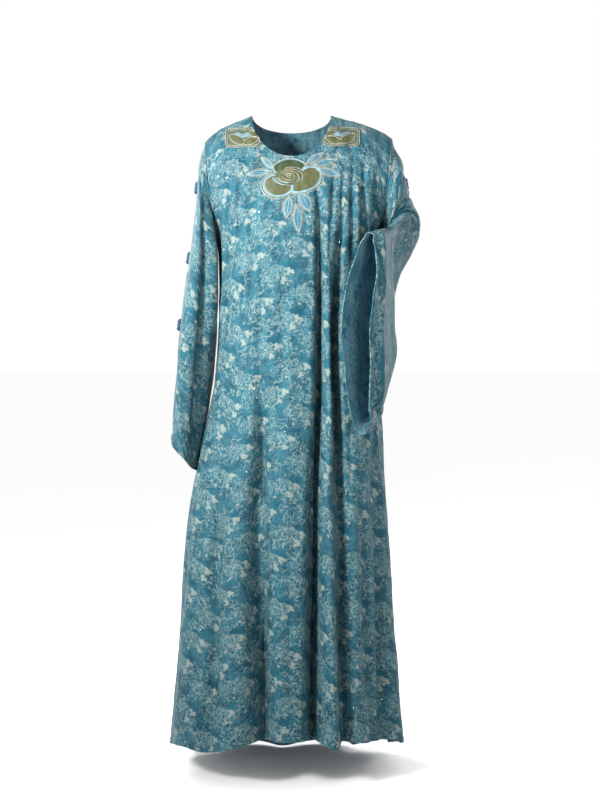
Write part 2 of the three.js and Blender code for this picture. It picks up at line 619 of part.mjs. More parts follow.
addMesh("front", wall(trimmed(frontGrid, GAP / 2), -WALL / 2, WALL / 2), CLOTH);
addMesh("back", wall(trimmed(backGrid, GAP / 2), -WALL / 2, WALL / 2), CLOTH);
for (const { name, surface } of sleeves.values()) addMesh(name, geometryOf(sleeveSolid(surface)), CLOTH);
for (const [name, solid] of appliedPieces()) addMesh(name, geometryOf(solid), SATIN);
for (const { name, side, distance, round } of TABS) {
  const { surface } = sleeves.get(side);
  const along = alongAt(surface, round, distance);
  const outward = normalOf(surface, round, along, SLEEVE_LIMITS).multiplyScalar(side);
  const down = surface(round, along + 0.01).sub(surface(round, along - 0.01));
  down.addScaledVector(outward, -down.dot(outward)).normalize();
  const tab = addMesh(name, tabGeometry(), DARK_CLOTH);
  tab.quaternion.setFromRotationMatrix(
    new THREE.Matrix4().makeBasis(down, outward, down.clone().cross(outward)),
  );
  tab.position.copy(surface(round, along)).addScaledVector(outward, WALL / 2 + GAP + TAB_LIFT);
}

export default kaftan;
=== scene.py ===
"""The looks of a long kaftan: two body panels, two wide sleeves, a rose applique, shoulder patches and tabs.

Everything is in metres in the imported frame, with +Z up, -Y the front and +X the wearer's left. The tables
of sizes are in millimetres, as a pattern cutter writes them, and turn into metres when a mesh is made.
"""

import logging
import math
from collections.abc import Sequence
from dataclasses import dataclass
from enum import Enum

import bpy
import numpy as np
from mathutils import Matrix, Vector
from mathutils.bvhtree import BVHTree


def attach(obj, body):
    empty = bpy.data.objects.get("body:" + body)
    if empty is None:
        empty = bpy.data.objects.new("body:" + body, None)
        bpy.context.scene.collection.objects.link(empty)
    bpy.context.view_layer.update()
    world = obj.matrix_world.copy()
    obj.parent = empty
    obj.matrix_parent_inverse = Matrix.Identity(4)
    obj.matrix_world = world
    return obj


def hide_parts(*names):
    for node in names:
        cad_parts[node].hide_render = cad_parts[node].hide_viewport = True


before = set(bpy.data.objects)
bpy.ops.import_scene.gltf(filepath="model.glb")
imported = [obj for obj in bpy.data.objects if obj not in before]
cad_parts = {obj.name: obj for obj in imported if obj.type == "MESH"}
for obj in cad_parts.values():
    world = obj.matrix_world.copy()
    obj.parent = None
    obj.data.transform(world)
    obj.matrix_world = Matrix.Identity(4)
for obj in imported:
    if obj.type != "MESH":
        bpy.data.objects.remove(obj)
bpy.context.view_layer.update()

Array = np.ndarray
Number = float | Array
LOG = logging.getLogger("kaftan")

MM = 0.001
CUT_MAP = "cut"
TINY = 1e-12


# ---- Small maths ----


def mix(a: Number, b: Number, t: Number) -> Number:
    """The value that lies a share t of the way from a to b."""
    return a + (b - a) * t


def clamp01(t: Number) -> Array:
    """A value held between 0 and 1."""
    return np.clip(t, 0.0, 1.0)


def smooth(t: Number) -> Array:
    """A soft step from 0 to 1 as t goes from 0 to 1."""
    held = clamp01(t)
    return held * held * (3 - 2 * held)


def bell(distance: Number, width: Number) -> Array:
    """A bell curve, 1 at no distance."""
    return np.exp(-((distance / width) ** 2))


def turn_between(a: Number, b: Number) -> Number:
    """The turn from b to a in degrees, from -180 to 180."""
    return (a - b + 180) % 360 - 180


def signed_power(value: Array, power: float) -> Array:
    """A power that keeps the sign of its value."""
    return np.sign(value) * np.abs(value) ** power


def unit(vectors: Array) -> Array:
    """Vectors scaled to length 1."""
    return vectors / np.maximum(np.linalg.norm(vectors, axis=-1, keepdims=True), TINY)


def ripple(u: Array, v: Array, seed: int, waves: int = 9) -> Array:
    """Smooth unevenness of about -1 to 1, from waves that run in many directions.

    Args:
        u: First coordinate, in wavelengths.
        v: Second coordinate, in wavelengths.
        seed: Which unevenness.
        waves: How many waves are added.

    Returns:
        The height at each point.
    """
    rng = np.random.default_rng(seed)
    total = np.zeros(np.broadcast(u, v).shape)
    for _ in range(waves):
        pace = rng.uniform(0.55, 1.7, 2)
        tilt, phase, bend = rng.uniform(-0.5, 0.5), *rng.uniform(0, 2 * math.pi, 2)
        sway = 1.3 * np.sin(2 * math.pi * pace[1] * v + bend)
        total += np.sin(2 * math.pi * (pace[0] * u + tilt * v) + phase + sway)
    return total / math.sqrt(waves)


class Column:
    """One column of a table, read at any height with no overshoot between its rows."""

    def __init__(self, heights: Sequence[float], values: Sequence[float]) -> None:
        """Takes the rows' heights and this column's values."""
        order = np.argsort(heights)
        self.at = np.asarray(heights, float)[order]
        self.value = np.asarray(values, float)[order]
        slope = np.diff(self.value) / np.diff(self.at)
        before, after = np.r_[slope[0], slope], np.r_[slope, slope[-1]]
        total = np.where(np.abs(before + after) < TINY, 1, before + after)
        self.tangent = np.where(before * after <= 0, 0, 2 * before * after / total)

    def __call__(self, z: Number) -> Array:
        """The column's value at height z."""
        held = np.clip(z, self.at[0], self.at[-1])
        i = np.clip(np.searchsorted(self.at, held, side="right") - 1, 0, len(self.at) - 2)
        span = self.at[i + 1] - self.at[i]
        t = clamp01((held - self.at[i]) / span)
        return (
            (2 * t**3 - 3 * t**2 + 1) * self.value[i]
            + (t**3 - 2 * t**2 + t) * span * self.tangent[i]
            + (3 * t**2 - 2 * t**3) * self.value[i + 1]
            + (t**3 - t**2) * span * self.tangent[i + 1]
        )


def through(points: Array, along: Array) -> Array:
    """Points on smooth lines that pass through given ones.

    Args:
        points: The points to pass through, of shape (rows, columns, 3).
        along: Places from 0 at the first row to 1 at the last.

    Returns:
        The points at those places, of shape (places, columns, 3).
    """
    last = len(points) - 1
    ends = np.concatenate([[2 * points[0] - points[1]], points, [2 * points[-1] - points[-2]]])
    k = np.minimum((np.ravel(along) * last).astype(int), last - 1)
    t = (np.ravel(along) * last - k)[:, None, None]
    p0, p1, p2, p3 = (ends[k + i] for i in range(4))
    pairs = ((p0, p1), (p1, p2), (p2, p3))
    d0, d1, d2 = (np.maximum(np.linalg.norm(b - a, axis=-1, keepdims=True), 1e-9) ** 0.5 for a, b in pairs)
    m1 = ((p1 - p0) / d0 - (p2 - p0) / (d0 + d1) + (p2 - p1) / d1) * d1
    m2 = ((p2 - p1) / d1 - (p3 - p1) / (d1 + d2) + (p3 - p2) / d2) * d1
    return p1 + m1 * t + (-3 * p1 + 3 * p2 - 2 * m1 - m2) * t**2 + (2 * p1 - 2 * p2 + m1 + m2) * t**3


def loop_length(path: Array) -> Array:
    """The distance walked at each point of a path."""
    return np.r_[0, np.cumsum(np.linalg.norm(np.diff(path, axis=0), axis=1))]


def read_at(marks: Number, walked: Array, values: Array) -> Array:
    """Rows of three values along a path, read at marks between its walked distances."""
    return np.stack([np.interp(marks, walked, values[:, k]) for k in range(3)], -1)


# ---- Meshes ----


def add_object(name: str, data: bpy.types.ID) -> bpy.types.Object:
    """Adds an object to the scene.

    Args:
        name: Its name.
        data: Its mesh, light or camera.

    Returns:
        The new object.
    """
    made = bpy.data.objects.new(name, data)
    bpy.context.scene.collection.objects.link(made)
    return made


@dataclass
class Form:
    """A mesh in the making, in millimetres. Each face has a finish and each of its corners a cut place."""

    points: Array
    faces: Array
    cut: Array
    finish: Array

    @staticmethod
    def joined(forms: Sequence["Form"]) -> "Form":
        """Several forms with faces of the same size as one.

        Args:
            forms: The forms.

        Returns:
            One form that holds them all in turn.
        """
        starts = np.cumsum([0, *(len(form.points) for form in forms[:-1])])
        return Form(
            np.concatenate([form.points for form in forms]),
            np.concatenate([form.faces + start for form, start in zip(forms, starts, strict=True)]),
            np.concatenate([form.cut for form in forms]),
            np.concatenate([form.finish for form in forms]),
        )

    def sew(self, name: str, finishes: Sequence[bpy.types.Material], sharp: float = 70) -> bpy.types.Object:
        """Makes the object.

        Args:
            name: The piece's name.
            finishes: Its materials, in the order of the finish numbers.
            sharp: The angle in degrees above which an edge is shaded as sharp.

        Returns:
            The new object, which rides on the body.
        """
        count, size = self.faces.shape
        mesh = bpy.data.meshes.new(name)
        mesh.vertices.add(len(self.points))
        mesh.vertices.foreach_set("co", (self.points * MM).astype(np.float32).ravel())
        mesh.loops.add(count * size)
        mesh.loops.foreach_set("vertex_index", self.faces.astype(np.int32).ravel())
        mesh.polygons.add(count)
        mesh.polygons.foreach_set("loop_start", np.arange(0, count * size, size, dtype=np.int32))
        mesh.polygons.foreach_set("material_index", self.finish.astype(np.int32))
        mesh.polygons.foreach_set("use_smooth", np.ones(count, bool))
        mesh.update(calc_edges=True)
        layer = mesh.uv_layers.new(name=CUT_MAP)
        layer.uv.foreach_set("vector", (self.cut * MM).astype(np.float32).ravel())
        mesh.set_sharp_from_angle(angle=math.radians(sharp))
        for finish in finishes:
            mesh.materials.append(finish)
        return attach(add_object(name, mesh), "root")


def quads_of(rows: int, columns: int, closes: bool) -> tuple[Array, Array]:
    """The faces of a grid.

    Args:
        rows: Rows of points.
        columns: Columns of points.
        closes: True where the last column meets the first one.

    Returns:
        Faces as point numbers, and as numbers on a grid that keeps its last column apart.
    """
    wide = columns + 1 if closes else columns
    r, c = np.meshgrid(np.arange(rows - 1), np.arange(wide - 1), indexing="ij")
    corners = [(r, c), (r, c + 1), (r + 1, c + 1), (r + 1, c)]
    faces = np.stack([a * columns + b % columns for a, b in corners], -1).reshape(-1, 4)
    places = np.stack([a * wide + b for a, b in corners], -1).reshape(-1, 4)
    return faces, places


def grid_normals(points: Array, closes: bool) -> Array:
    """Unit normals of a grid of points, on the side of columns crossed with rows.

    Args:
        points: The grid.
        closes: True where the last column meets the first one.

    Returns:
        A normal at each point.
    """
    if closes:
        padded = np.concatenate([points[:, -1:], points, points[:, :1]], 1)
        across = np.gradient(padded, axis=1)[:, 1:-1]
    else:
        across = np.gradient(points, axis=1)
    return unit(np.cross(across, np.gradient(points, axis=0)))


EVEN_REACH = 12
FLARE_SHARED = 0.65
BEND_SHARED = 0.7


@dataclass
class Cloth:
    """A sheet of cloth as a grid of points on its middle surface, with the way out and a thickness at each.

    A tube closes on its first column. An upright sheet has its width measured level.
    """

    points: Array
    outward: Array
    thickness: Array
    closes: bool = False
    upright: bool = False

    def opened(self) -> Array:
        """The points, with a tube's first column again at its end."""
        return np.concatenate([self.points, self.points[:, :1]], 1) if self.closes else self.points

    def cut_places(self) -> Array:
        """Where each point lies on the flat cloth.

        The ways up are evened out between neighbouring columns, as the threads of a flat cloth run straight.
        A tube's flare and its bend are shared out over it.

        Returns:
            For each point how far it is across from the middle column, and up from the first row.
        """
        spread = self.opened()
        across = np.linalg.norm(np.diff(spread[..., :2] if self.upright else spread, axis=1), axis=-1)
        places = np.concatenate([np.zeros((len(spread), 1)), np.cumsum(across, 1)], 1)
        middle = spread.shape[1] // 2
        places -= places[:, middle : middle + 1]
        if self.closes:
            places = mix(places, places.mean(0), FLARE_SHARED)
        rise = np.linalg.norm(np.diff(spread, axis=0), axis=-1)
        up = np.concatenate([np.zeros((1, spread.shape[1])), np.cumsum(rise, 0)])
        weights = bell(np.arange(-EVEN_REACH, EVEN_REACH + 1), EVEN_REACH / 2)
        if self.closes:
            padded = np.pad(up[:, :-1], ((0, 0), (EVEN_REACH, EVEN_REACH + 1)), mode="wrap")
        else:
            padded = np.pad(up, ((0, 0), (EVEN_REACH, EVEN_REACH)), mode="edge")
        even = sum(w * padded[:, k : k + up.shape[1]] for k, w in enumerate(weights / weights.sum()))
        if self.closes:
            even = mix(even, even.mean(1, keepdims=True), BEND_SHARED)
        return np.stack([places, even], -1)

    def area(self) -> float:
        """The area of one side in square metres."""
        faces, _ = quads_of(*self.points.shape[:2], self.closes)
        a, b, c, d = (self.points.reshape(-1, 3)[faces[:, i]] for i in range(4))
        return float(np.linalg.norm(np.cross(c - a, d - b), axis=-1).sum() / 2 * MM**2)

    def length(self) -> float:
        """The longest way up the cloth, in metres."""
        return float(np.linalg.norm(np.diff(self.points, axis=0), axis=-1).sum(0).max() * MM)

    def width(self) -> float:
        """The widest row of the cloth, in metres."""
        return float(np.linalg.norm(np.diff(self.opened(), axis=1), axis=-1).sum(1).max() * MM)

    def outer(self) -> Array:
        """The points of the outer face."""
        return self.points + self.outward * (self.thickness / 2)[..., None]

    def form(self) -> Form:
        """The cloth as a closed thin wall: the right side is finish 0 and the reverse is finish 1.

        Returns:
            The wall, its edges in finish 0.
        """
        rows, columns = self.points.shape[:2]
        half = self.outward * (self.thickness / 2)[..., None]
        layers = [(self.points + half).reshape(-1, 3), (self.points - half).reshape(-1, 3)]
        faces, places = quads_of(rows, columns, self.closes)
        cut = self.cut_places().reshape(-1, 2)
        middle = faces[len(faces) // 2]
        a, b, _, d = self.points.reshape(-1, 3)[middle]
        as_is = bool(np.dot(np.cross(b - a, d - a), self.outward.reshape(-1, 3)[middle[0]]) > 0)
        outside, outside_places = (faces, places) if as_is else (faces[:, ::-1], places[:, ::-1])
        rims, rim_places = self._rims(rows, columns, as_is)
        return Form(
            np.concatenate(layers),
            np.concatenate([outside, outside[:, ::-1] + rows * columns, rims]),
            cut[np.concatenate([outside_places, outside_places[:, ::-1], rim_places])].reshape(-1, 2),
            np.r_[np.zeros(len(faces)), np.ones(len(faces)), np.zeros(len(rims))],
        )

    def _rims(self, rows: int, columns: int, as_is: bool) -> tuple[Array, Array]:
        """The narrow faces that close the wall's edges, and their places on the flat cloth.

        Args:
            rows: Rows of points.
            columns: Columns of points.
            as_is: True where the grid's faces look outward as they are numbered.

        Returns:
            Faces as point numbers, and as numbers on a grid that keeps its last column apart.
        """
        wide = columns + 1 if self.closes else columns
        c, r = np.arange(wide - 1), np.arange(rows - 1)
        runs = [((0, c), (0, c + 1), as_is), ((rows - 1, c), (rows - 1, c + 1), not as_is)]
        if not self.closes:
            runs += [((r, 0), (r + 1, 0), not as_is), ((r, columns - 1), (r + 1, columns - 1), as_is)]
        found, places = [], []
        for start, end, forward in runs:
            (r1, c1), (r2, c2) = (start, end) if forward else (end, start)
            a, b = r1 * columns + c1 % columns, r2 * columns + c2 % columns
            found.append(np.stack([a, b, b + rows * columns, a + rows * columns], -1)[:, ::-1])
            a, b = r1 * wide + c1, r2 * wide + c2
            places.append(np.stack([a, b, b, a], -1)[:, ::-1])
        return np.concatenate(found), np.concatenate(places)


# ---- The body ----

UNDERARM_Z = -260.0
SECTION_POWER = 2.3
SHOULDER_ROLL = 78.0
HEM_SIDE_Z = -1450.0
HEM_FRONT_LIFT = 52.0
HEM_BAND = 12.0
NECK_X = -10.0
NECK_HALF = 90.0
RIGHT_TIP = (-205.0, -57.0)
LEFT_TIP = (216.0, -50.0)
SHOULDER_ROUND = 0.28
ARMHOLE_BOW = 0.62
CLOTH_WALL = 1.3
HEM_TURN = 1.5
CUFF_TURN = 1.4
NORMAL_STEP = 1e-3

# Half sections of the body: height, right end, left end, depth in front, depth behind.
BODY_ROWS = np.array(
    [
        (10, -284, 286, 46, 48),
        (-50, -276, 280, 68, 74),
        (-100, -258, 264, 87, 92),
        (-150, -234, 240, 106, 103),
        (-200, -208, 213, 121, 107),
        (-235, -195, 198, 128, 107),
        (-260, -188, 190, 131, 106),
        (-330, -179, 182, 135, 101),
        (-467, -177, 181, 130, 98),
        (-608, -187, 189, 132, 112),
        (-684, -202, 196, 137, 122),
        (-776, -222, 201, 144, 134),
        (-882, -243, 206, 153, 146),
        (-1012, -256, 215, 164, 158),
        (-1197, -270, 224, 178, 176),
        (-1520, -302, 248, 198, 206),
    ],
    float,
)
SECTION_RIGHT, SECTION_LEFT, SECTION_FRONT, SECTION_BACK = (
    Column(BODY_ROWS[:, 0], BODY_ROWS[:, i]) for i in range(1, 5)
)


@dataclass(frozen=True)
class Fold:
    """A fold down the body. Angles are in degrees: 0 is the front, -90 and 90 the side seams, 180 the back.

    It starts at one height and is full at another, and it stands out, or in where its depth is below 0.
    """

    top: float
    hem: float
    start: float
    full: float
    depth: float
    width: float

    def reach(self, angle: Array, z: Array) -> Array:
        """How far the fold moves the cloth out.

        Args:
            angle: The angle round the body.
            z: The height.

        Returns:
            The way out at each place.
        """
        fall = clamp01((self.start - z) / (self.start - self.full))
        centre = mix(self.top, self.hem, clamp01((UNDERARM_Z - z) / (UNDERARM_Z - HEM_SIDE_Z)))
        return self.depth * np.sin(fall * math.pi / 2) * bell(turn_between(angle, centre), self.width)


FOLDS = (
    Fold(-70, -58, -800, -1450, 10, 9),
    Fold(-50, -36, -760, -1450, -13, 5),
    Fold(-32, -20, -560, -1350, 16, 7),
    Fold(-22, -8, -520, -1300, -44, 4.4),
    Fold(-3, 0, -420, -1300, 12, 5),
    Fold(14.2, 11.5, -150, -1150, -46, 3.4),
    Fold(19.5, 20.5, -130, -900, 25, 4.4),
    Fold(24, 28.5, -330, -1250, -22, 3.8),
    Fold(36, 38, -520, -1300, 8, 4.5),
    Fold(46, 47, -700, -1400, -12, 4),
    Fold(62, 59, -620, -1400, -19, 5.5),
    Fold(77, 75, -820, -1450, 11, 9),
    Fold(104, 106, -760, -1400, -17, 6),
    Fold(122, 124, -560, -1400, 17, 8),
    Fold(139, 142, -480, -1350, -27, 5.5),
    Fold(160, 161, -430, -1350, 19, 9),
    Fold(178, 181, -400, -1300, -31, 5.5),
    Fold(-160, -158, -450, -1350, 18, 9),
    Fold(-140, -139, -500, -1350, -26, 5.5),
    Fold(-119, -120, -650, -1400, 16, 8),
    Fold(-103, -101, -860, -1450, -15, 6),
)
# Where the hem hangs lower: angle, drop, width.
HEM_DROPS = ((-36, 24, 17), (21, 12, 6), (62, -8, 14))


@dataclass(frozen=True)
class Crease:
    """A soft narrow crease down a panel, as (x, z) knots seen from in front, with a depth and a width."""

    knots: tuple[tuple[float, float], ...]
    depth: float
    width: float
    steep: float = 2.0

    def reach(self, x: Array, z: Array) -> Array:
        """How far the crease moves the cloth out, fading towards both of its ends.

        Args:
            x: Places across.
            z: Heights.

        Returns:
            The way out at each place.
        """
        line = np.array(self.knots, float)[::-1]
        centre = np.interp(z, line[:, 1], line[:, 0])
        life = clamp01((z - line[0, 1]) / (line[-1, 1] - line[0, 1]))
        fall = np.exp(-np.abs((x - centre) / self.width) ** self.steep)
        return self.depth * np.sin(life * math.pi) ** 0.6 * fall


def half_at(z: Number) -> Array:
    """Half the body's width."""
    return (SECTION_LEFT(z) - SECTION_RIGHT(z)) / 2


def middle_at(z: Number) -> Array:
    """The middle of the body's width."""
    return (SECTION_LEFT(z) + SECTION_RIGHT(z)) / 2


def hem_height(angle: Array) -> Array:
    """How high the hem hangs at an angle round the body."""
    drops = sum(drop * bell(turn_between(angle, at), width) for at, drop, width in HEM_DROPS)
    return HEM_SIDE_Z + HEM_FRONT_LIFT * np.cos(np.radians(angle)) - drops


def shoulder_height(x: Array) -> Array:
    """The height of the shoulder line, or of its run across the neck.

    Args:
        x: Places across.

    Returns:
        The heights.
    """
    right = np.asarray(x) < NECK_X
    tip_x, tip_z = np.where(right, RIGHT_TIP[0], LEFT_TIP[0]), np.where(right, RIGHT_TIP[1], LEFT_TIP[1])
    start = NECK_X + np.sign(tip_x) * NECK_HALF
    t = clamp01((x - start) / (tip_x - start))
    return tip_z * mix(t, t**5, SHOULDER_ROUND)


def armhole_edge(side: int, rise: Array) -> tuple[Array, Array]:
    """The armhole seam as x and z, from the underarm at rise 0 to the shoulder tip at 1.

    Args:
        side: -1 for the right armhole, 1 for the left one.
        rise: Places up the seam.

    Returns:
        x and z.
    """
    tip = RIGHT_TIP if side < 0 else LEFT_TIP
    under = (SECTION_RIGHT if side < 0 else SECTION_LEFT)(UNDERARM_Z)
    return mix(under, tip[0], rise ** (1 / (1 + ARMHOLE_BOW))), mix(UNDERARM_Z, tip[1], rise)


NECK_ENDS = ((NECK_X - NECK_HALF) / RIGHT_TIP[0], (NECK_X + NECK_HALF) / LEFT_TIP[0])


class Side(Enum):
    """The two sides of the body: which way each one faces along Y."""

    FRONT = -1
    BACK = 1


@dataclass(frozen=True)
class Panel:
    """The front or the back: its sizes, its creases and the fineness of its mesh."""

    side: Side
    depth: Column
    neck_drop: float
    columns: int
    lower_rows: int
    upper_rows: int
    creases: tuple[Crease, ...]
    seed: int
    rows_at_hem: tuple[float, ...] = (0, 0.003, 0.006, 0.0085, 0.0098, 0.0115, 0.014)

    def angle(self, across: Array) -> Array:
        """The angle round the body of a place across the panel."""
        return 90 * across if self.side is Side.FRONT else 180 - 90 * across

    def base(self, across: Array, up: Array) -> Array:
        """The panel's middle surface with no folds.

        Args:
            across: From -1 at the right side seam to 1 at the left one.
            up: From 0 at the hem by 1 at the underarm to 2 at the shoulder line and the neck.

        Returns:
            The points.
        """
        across, up = np.broadcast_arrays(across, up)
        swing = signed_power(np.sin(across * math.pi / 2), 2 / SECTION_POWER)
        low_z = mix(hem_height(self.angle(across)), UNDERARM_Z, np.minimum(up, 1))
        round_ = np.abs(np.cos(across * math.pi / 2)) ** (2 / SECTION_POWER)
        low_x = middle_at(low_z) + half_at(low_z) * swing
        low = np.stack([low_x, self.side.value * self.depth(low_z) * round_, low_z], -1)
        high_x, high_z = self._upper(across, up, swing)
        reach = np.abs(high_x - middle_at(high_z)) / half_at(high_z)
        roll = clamp01((shoulder_height(high_x) - high_z) / SHOULDER_ROLL)
        bulge = np.maximum(0, 1 - reach**SECTION_POWER) ** (1 / SECTION_POWER)
        high_y = self.side.value * self.depth(high_z) * bulge * np.sqrt(1 - (1 - roll) ** 2)
        return np.where((up <= 1)[..., None], low, np.stack([high_x, high_y, high_z], -1))

    def _upper(self, across: Array, up: Array, swing: Array) -> tuple[Array, Array]:
        """x and z above the underarm, blended between the armholes, the underarm line and the top edge.

        Args:
            across: Places across the panel, as for base.
            up: Places up it, as for base.
            swing: How far across the body's section each place lies, from -1 to 1.

        Returns:
            x and z.
        """
        share = (across + 1) / 2
        neck_end = np.where(across < 0, NECK_ENDS[0], NECK_ENDS[1])
        ease = mix(1.2, 2, smooth((np.abs(across) - 0.4 * neck_end) / (0.6 * neck_end)))
        rise = 1 - (1 - clamp01(up - 1)) ** ease
        bottom = (middle_at(UNDERARM_Z) + half_at(UNDERARM_Z) * swing, UNDERARM_Z)
        top = self._top_edge(across)
        right, left = armhole_edge(-1, rise), armhole_edge(1, rise)
        corners = [(armhole_edge(-1, at), armhole_edge(1, at)) for at in (np.float64(0), np.float64(1))]
        found = []
        for k in (0, 1):
            low, high = (mix(ends[0][k], ends[1][k], share) for ends in corners)
            found.append(mix(bottom[k], top[k], rise) + mix(right[k], left[k], share) - mix(low, high, rise))
        return found[0], found[1]

    def _top_edge(self, across: Array) -> tuple[Array, Array]:
        """The top edge: shoulder seam, neckline, shoulder seam.

        Args:
            across: Places across the panel, as for base.

        Returns:
            x and z.
        """
        x = np.where(across < 0, RIGHT_TIP[0], LEFT_TIP[0]) * np.abs(across)
        in_neck = np.abs(x - NECK_X) / NECK_HALF
        dip = -self.neck_drop * np.sqrt(np.maximum(0, 1 - in_neck**2))
        return x, np.where(in_neck < 1, dip, shoulder_height(x))

    def outward(self, across: Array, up: Array) -> Array:
        """The unit normals of the plain form.

        Args:
            across: Places across the panel, as for base.
            up: Places up it, as for base.

        Returns:
            A normal at each place.
        """
        left, right = np.minimum(across + NORMAL_STEP, 1), np.maximum(across - NORMAL_STEP, -1)
        high, low = np.minimum(up + NORMAL_STEP, 2), np.maximum(up - NORMAL_STEP, 0)
        along_u = self.base(left, up) - self.base(right, up)
        along_v = self.base(across, high) - self.base(across, low)
        return unit(np.cross(along_u, along_v)) * -self.side.value

    def folded(self, across: Array, up: Array) -> Array:
        """The middle surface with its main folds.

        Args:
            across: Places across the panel, as for base.
            up: Places up it, as for base.

        Returns:
            The points.
        """
        points = self.base(across, up)
        angle = np.broadcast_to(self.angle(across), points.shape[:-1])
        reach = sum(fold.reach(angle, points[..., 2]) for fold in FOLDS)
        return points + self.outward(across, up) * reach[..., None]

    def column_places(self) -> Array:
        """Places across the panel, closer together where the folds are steep.

        Returns:
            The places, from -1 to 1.
        """
        fine = np.linspace(-1, 1, 1601)
        middle = (fine[1:] + fine[:-1]) / 2
        near_neck_end = np.minimum(*(np.abs(np.abs(middle) - end) for end in NECK_ENDS))
        crowd = 1 + 1.2 * bell(near_neck_end, 0.04)
        for fold in FOLDS:
            away = turn_between(self.angle(middle), mix(fold.top, fold.hem, 0.8))
            crowd += 0.12 * abs(fold.depth) * bell(away, fold.width * 1.3) / fold.width
        total = np.r_[0, np.cumsum(crowd)]
        return np.interp(np.linspace(0, total[-1], self.columns + 1), total, fine)

    def cloth(self) -> Cloth:
        """The panel with folds, creases, wrinkles and a turned hem.

        Returns:
            The panel's cloth.
        """
        across = self.column_places()[None, :]
        lower = np.linspace(self.rows_at_hem[-1], 1, self.lower_rows)[1:]
        up = np.r_[self.rows_at_hem, lower, np.linspace(1, 2, self.upper_rows + 1)[1:]][:, None]
        points = self.folded(across, up)
        way = self.outward(across, up)
        x, z = points[..., 0], points[..., 2]
        small = sum((crease.reach(x, z) for crease in self.creases), np.zeros(x.shape))
        girth = np.broadcast_to(self.angle(across), x.shape) * 3.2
        small += 1.1 * ripple(girth / 62, z / 420, self.seed)
        small += 0.5 * ripple(girth / 24, z / 120, self.seed + 1)
        small += 1.6 * ripple(girth / 95, z / 700, self.seed + 2) * smooth((-500 - z) / 500)
        fade = smooth((1 - np.abs(across)) / 0.05) * smooth((2 - up) / 0.1)
        seam = -1.6 * bell((1 - np.abs(across)) * 200, 5.0) * smooth((1.05 - up) / 0.1)
        points = points + way * (small * fade + seam)[..., None]
        outward = grid_normals(points, False) * -self.side.value
        made = Cloth(points, outward, np.full(x.shape, CLOTH_WALL), upright=True)
        made.thickness += HEM_TURN * (made.cut_places()[..., 1] < HEM_BAND)
        return made


# ---- The sleeves ----


@dataclass(frozen=True)
class SleeveFold:
    """A fold along a sleeve. round runs from 0 on the top seam by 0.25 at the front to 0.5 under the arm."""

    round: float
    turn: float
    start: float
    end: float
    depth: float
    width: float

    def reach(self, round_: Array, along: Array) -> Array:
        """How far the fold moves the cloth out.

        Args:
            round_: Places round the sleeve.
            along: Places along it, from 0 to 1 at the cuff.

        Returns:
            The way out at each place.
        """
        life = clamp01((along - self.start) / (self.end - self.start))
        away = round_ - self.round - self.turn * along
        return self.depth * np.sin(life * math.pi) * bell(away - np.round(away), self.width)


@dataclass(frozen=True)
class Crumple:
    """A short crease across a sleeve, as where the arm bends: its middle, slant, half length and depth."""

    round: float
    along: float
    slant: float
    half: float
    depth: float
    width: float

    def reach(self, round_: Array, along: Array) -> Array:
        """How far the crease moves the cloth out.

        Args:
            round_: Places round the sleeve.
            along: Places along it, from 0 to 1 at the cuff.

        Returns:
            The way out at each place.
        """
        away = round_ - self.round
        away = away - np.round(away)
        centre = self.along + self.slant * away
        return self.depth * bell(away, self.half) * bell(along - centre, self.width)


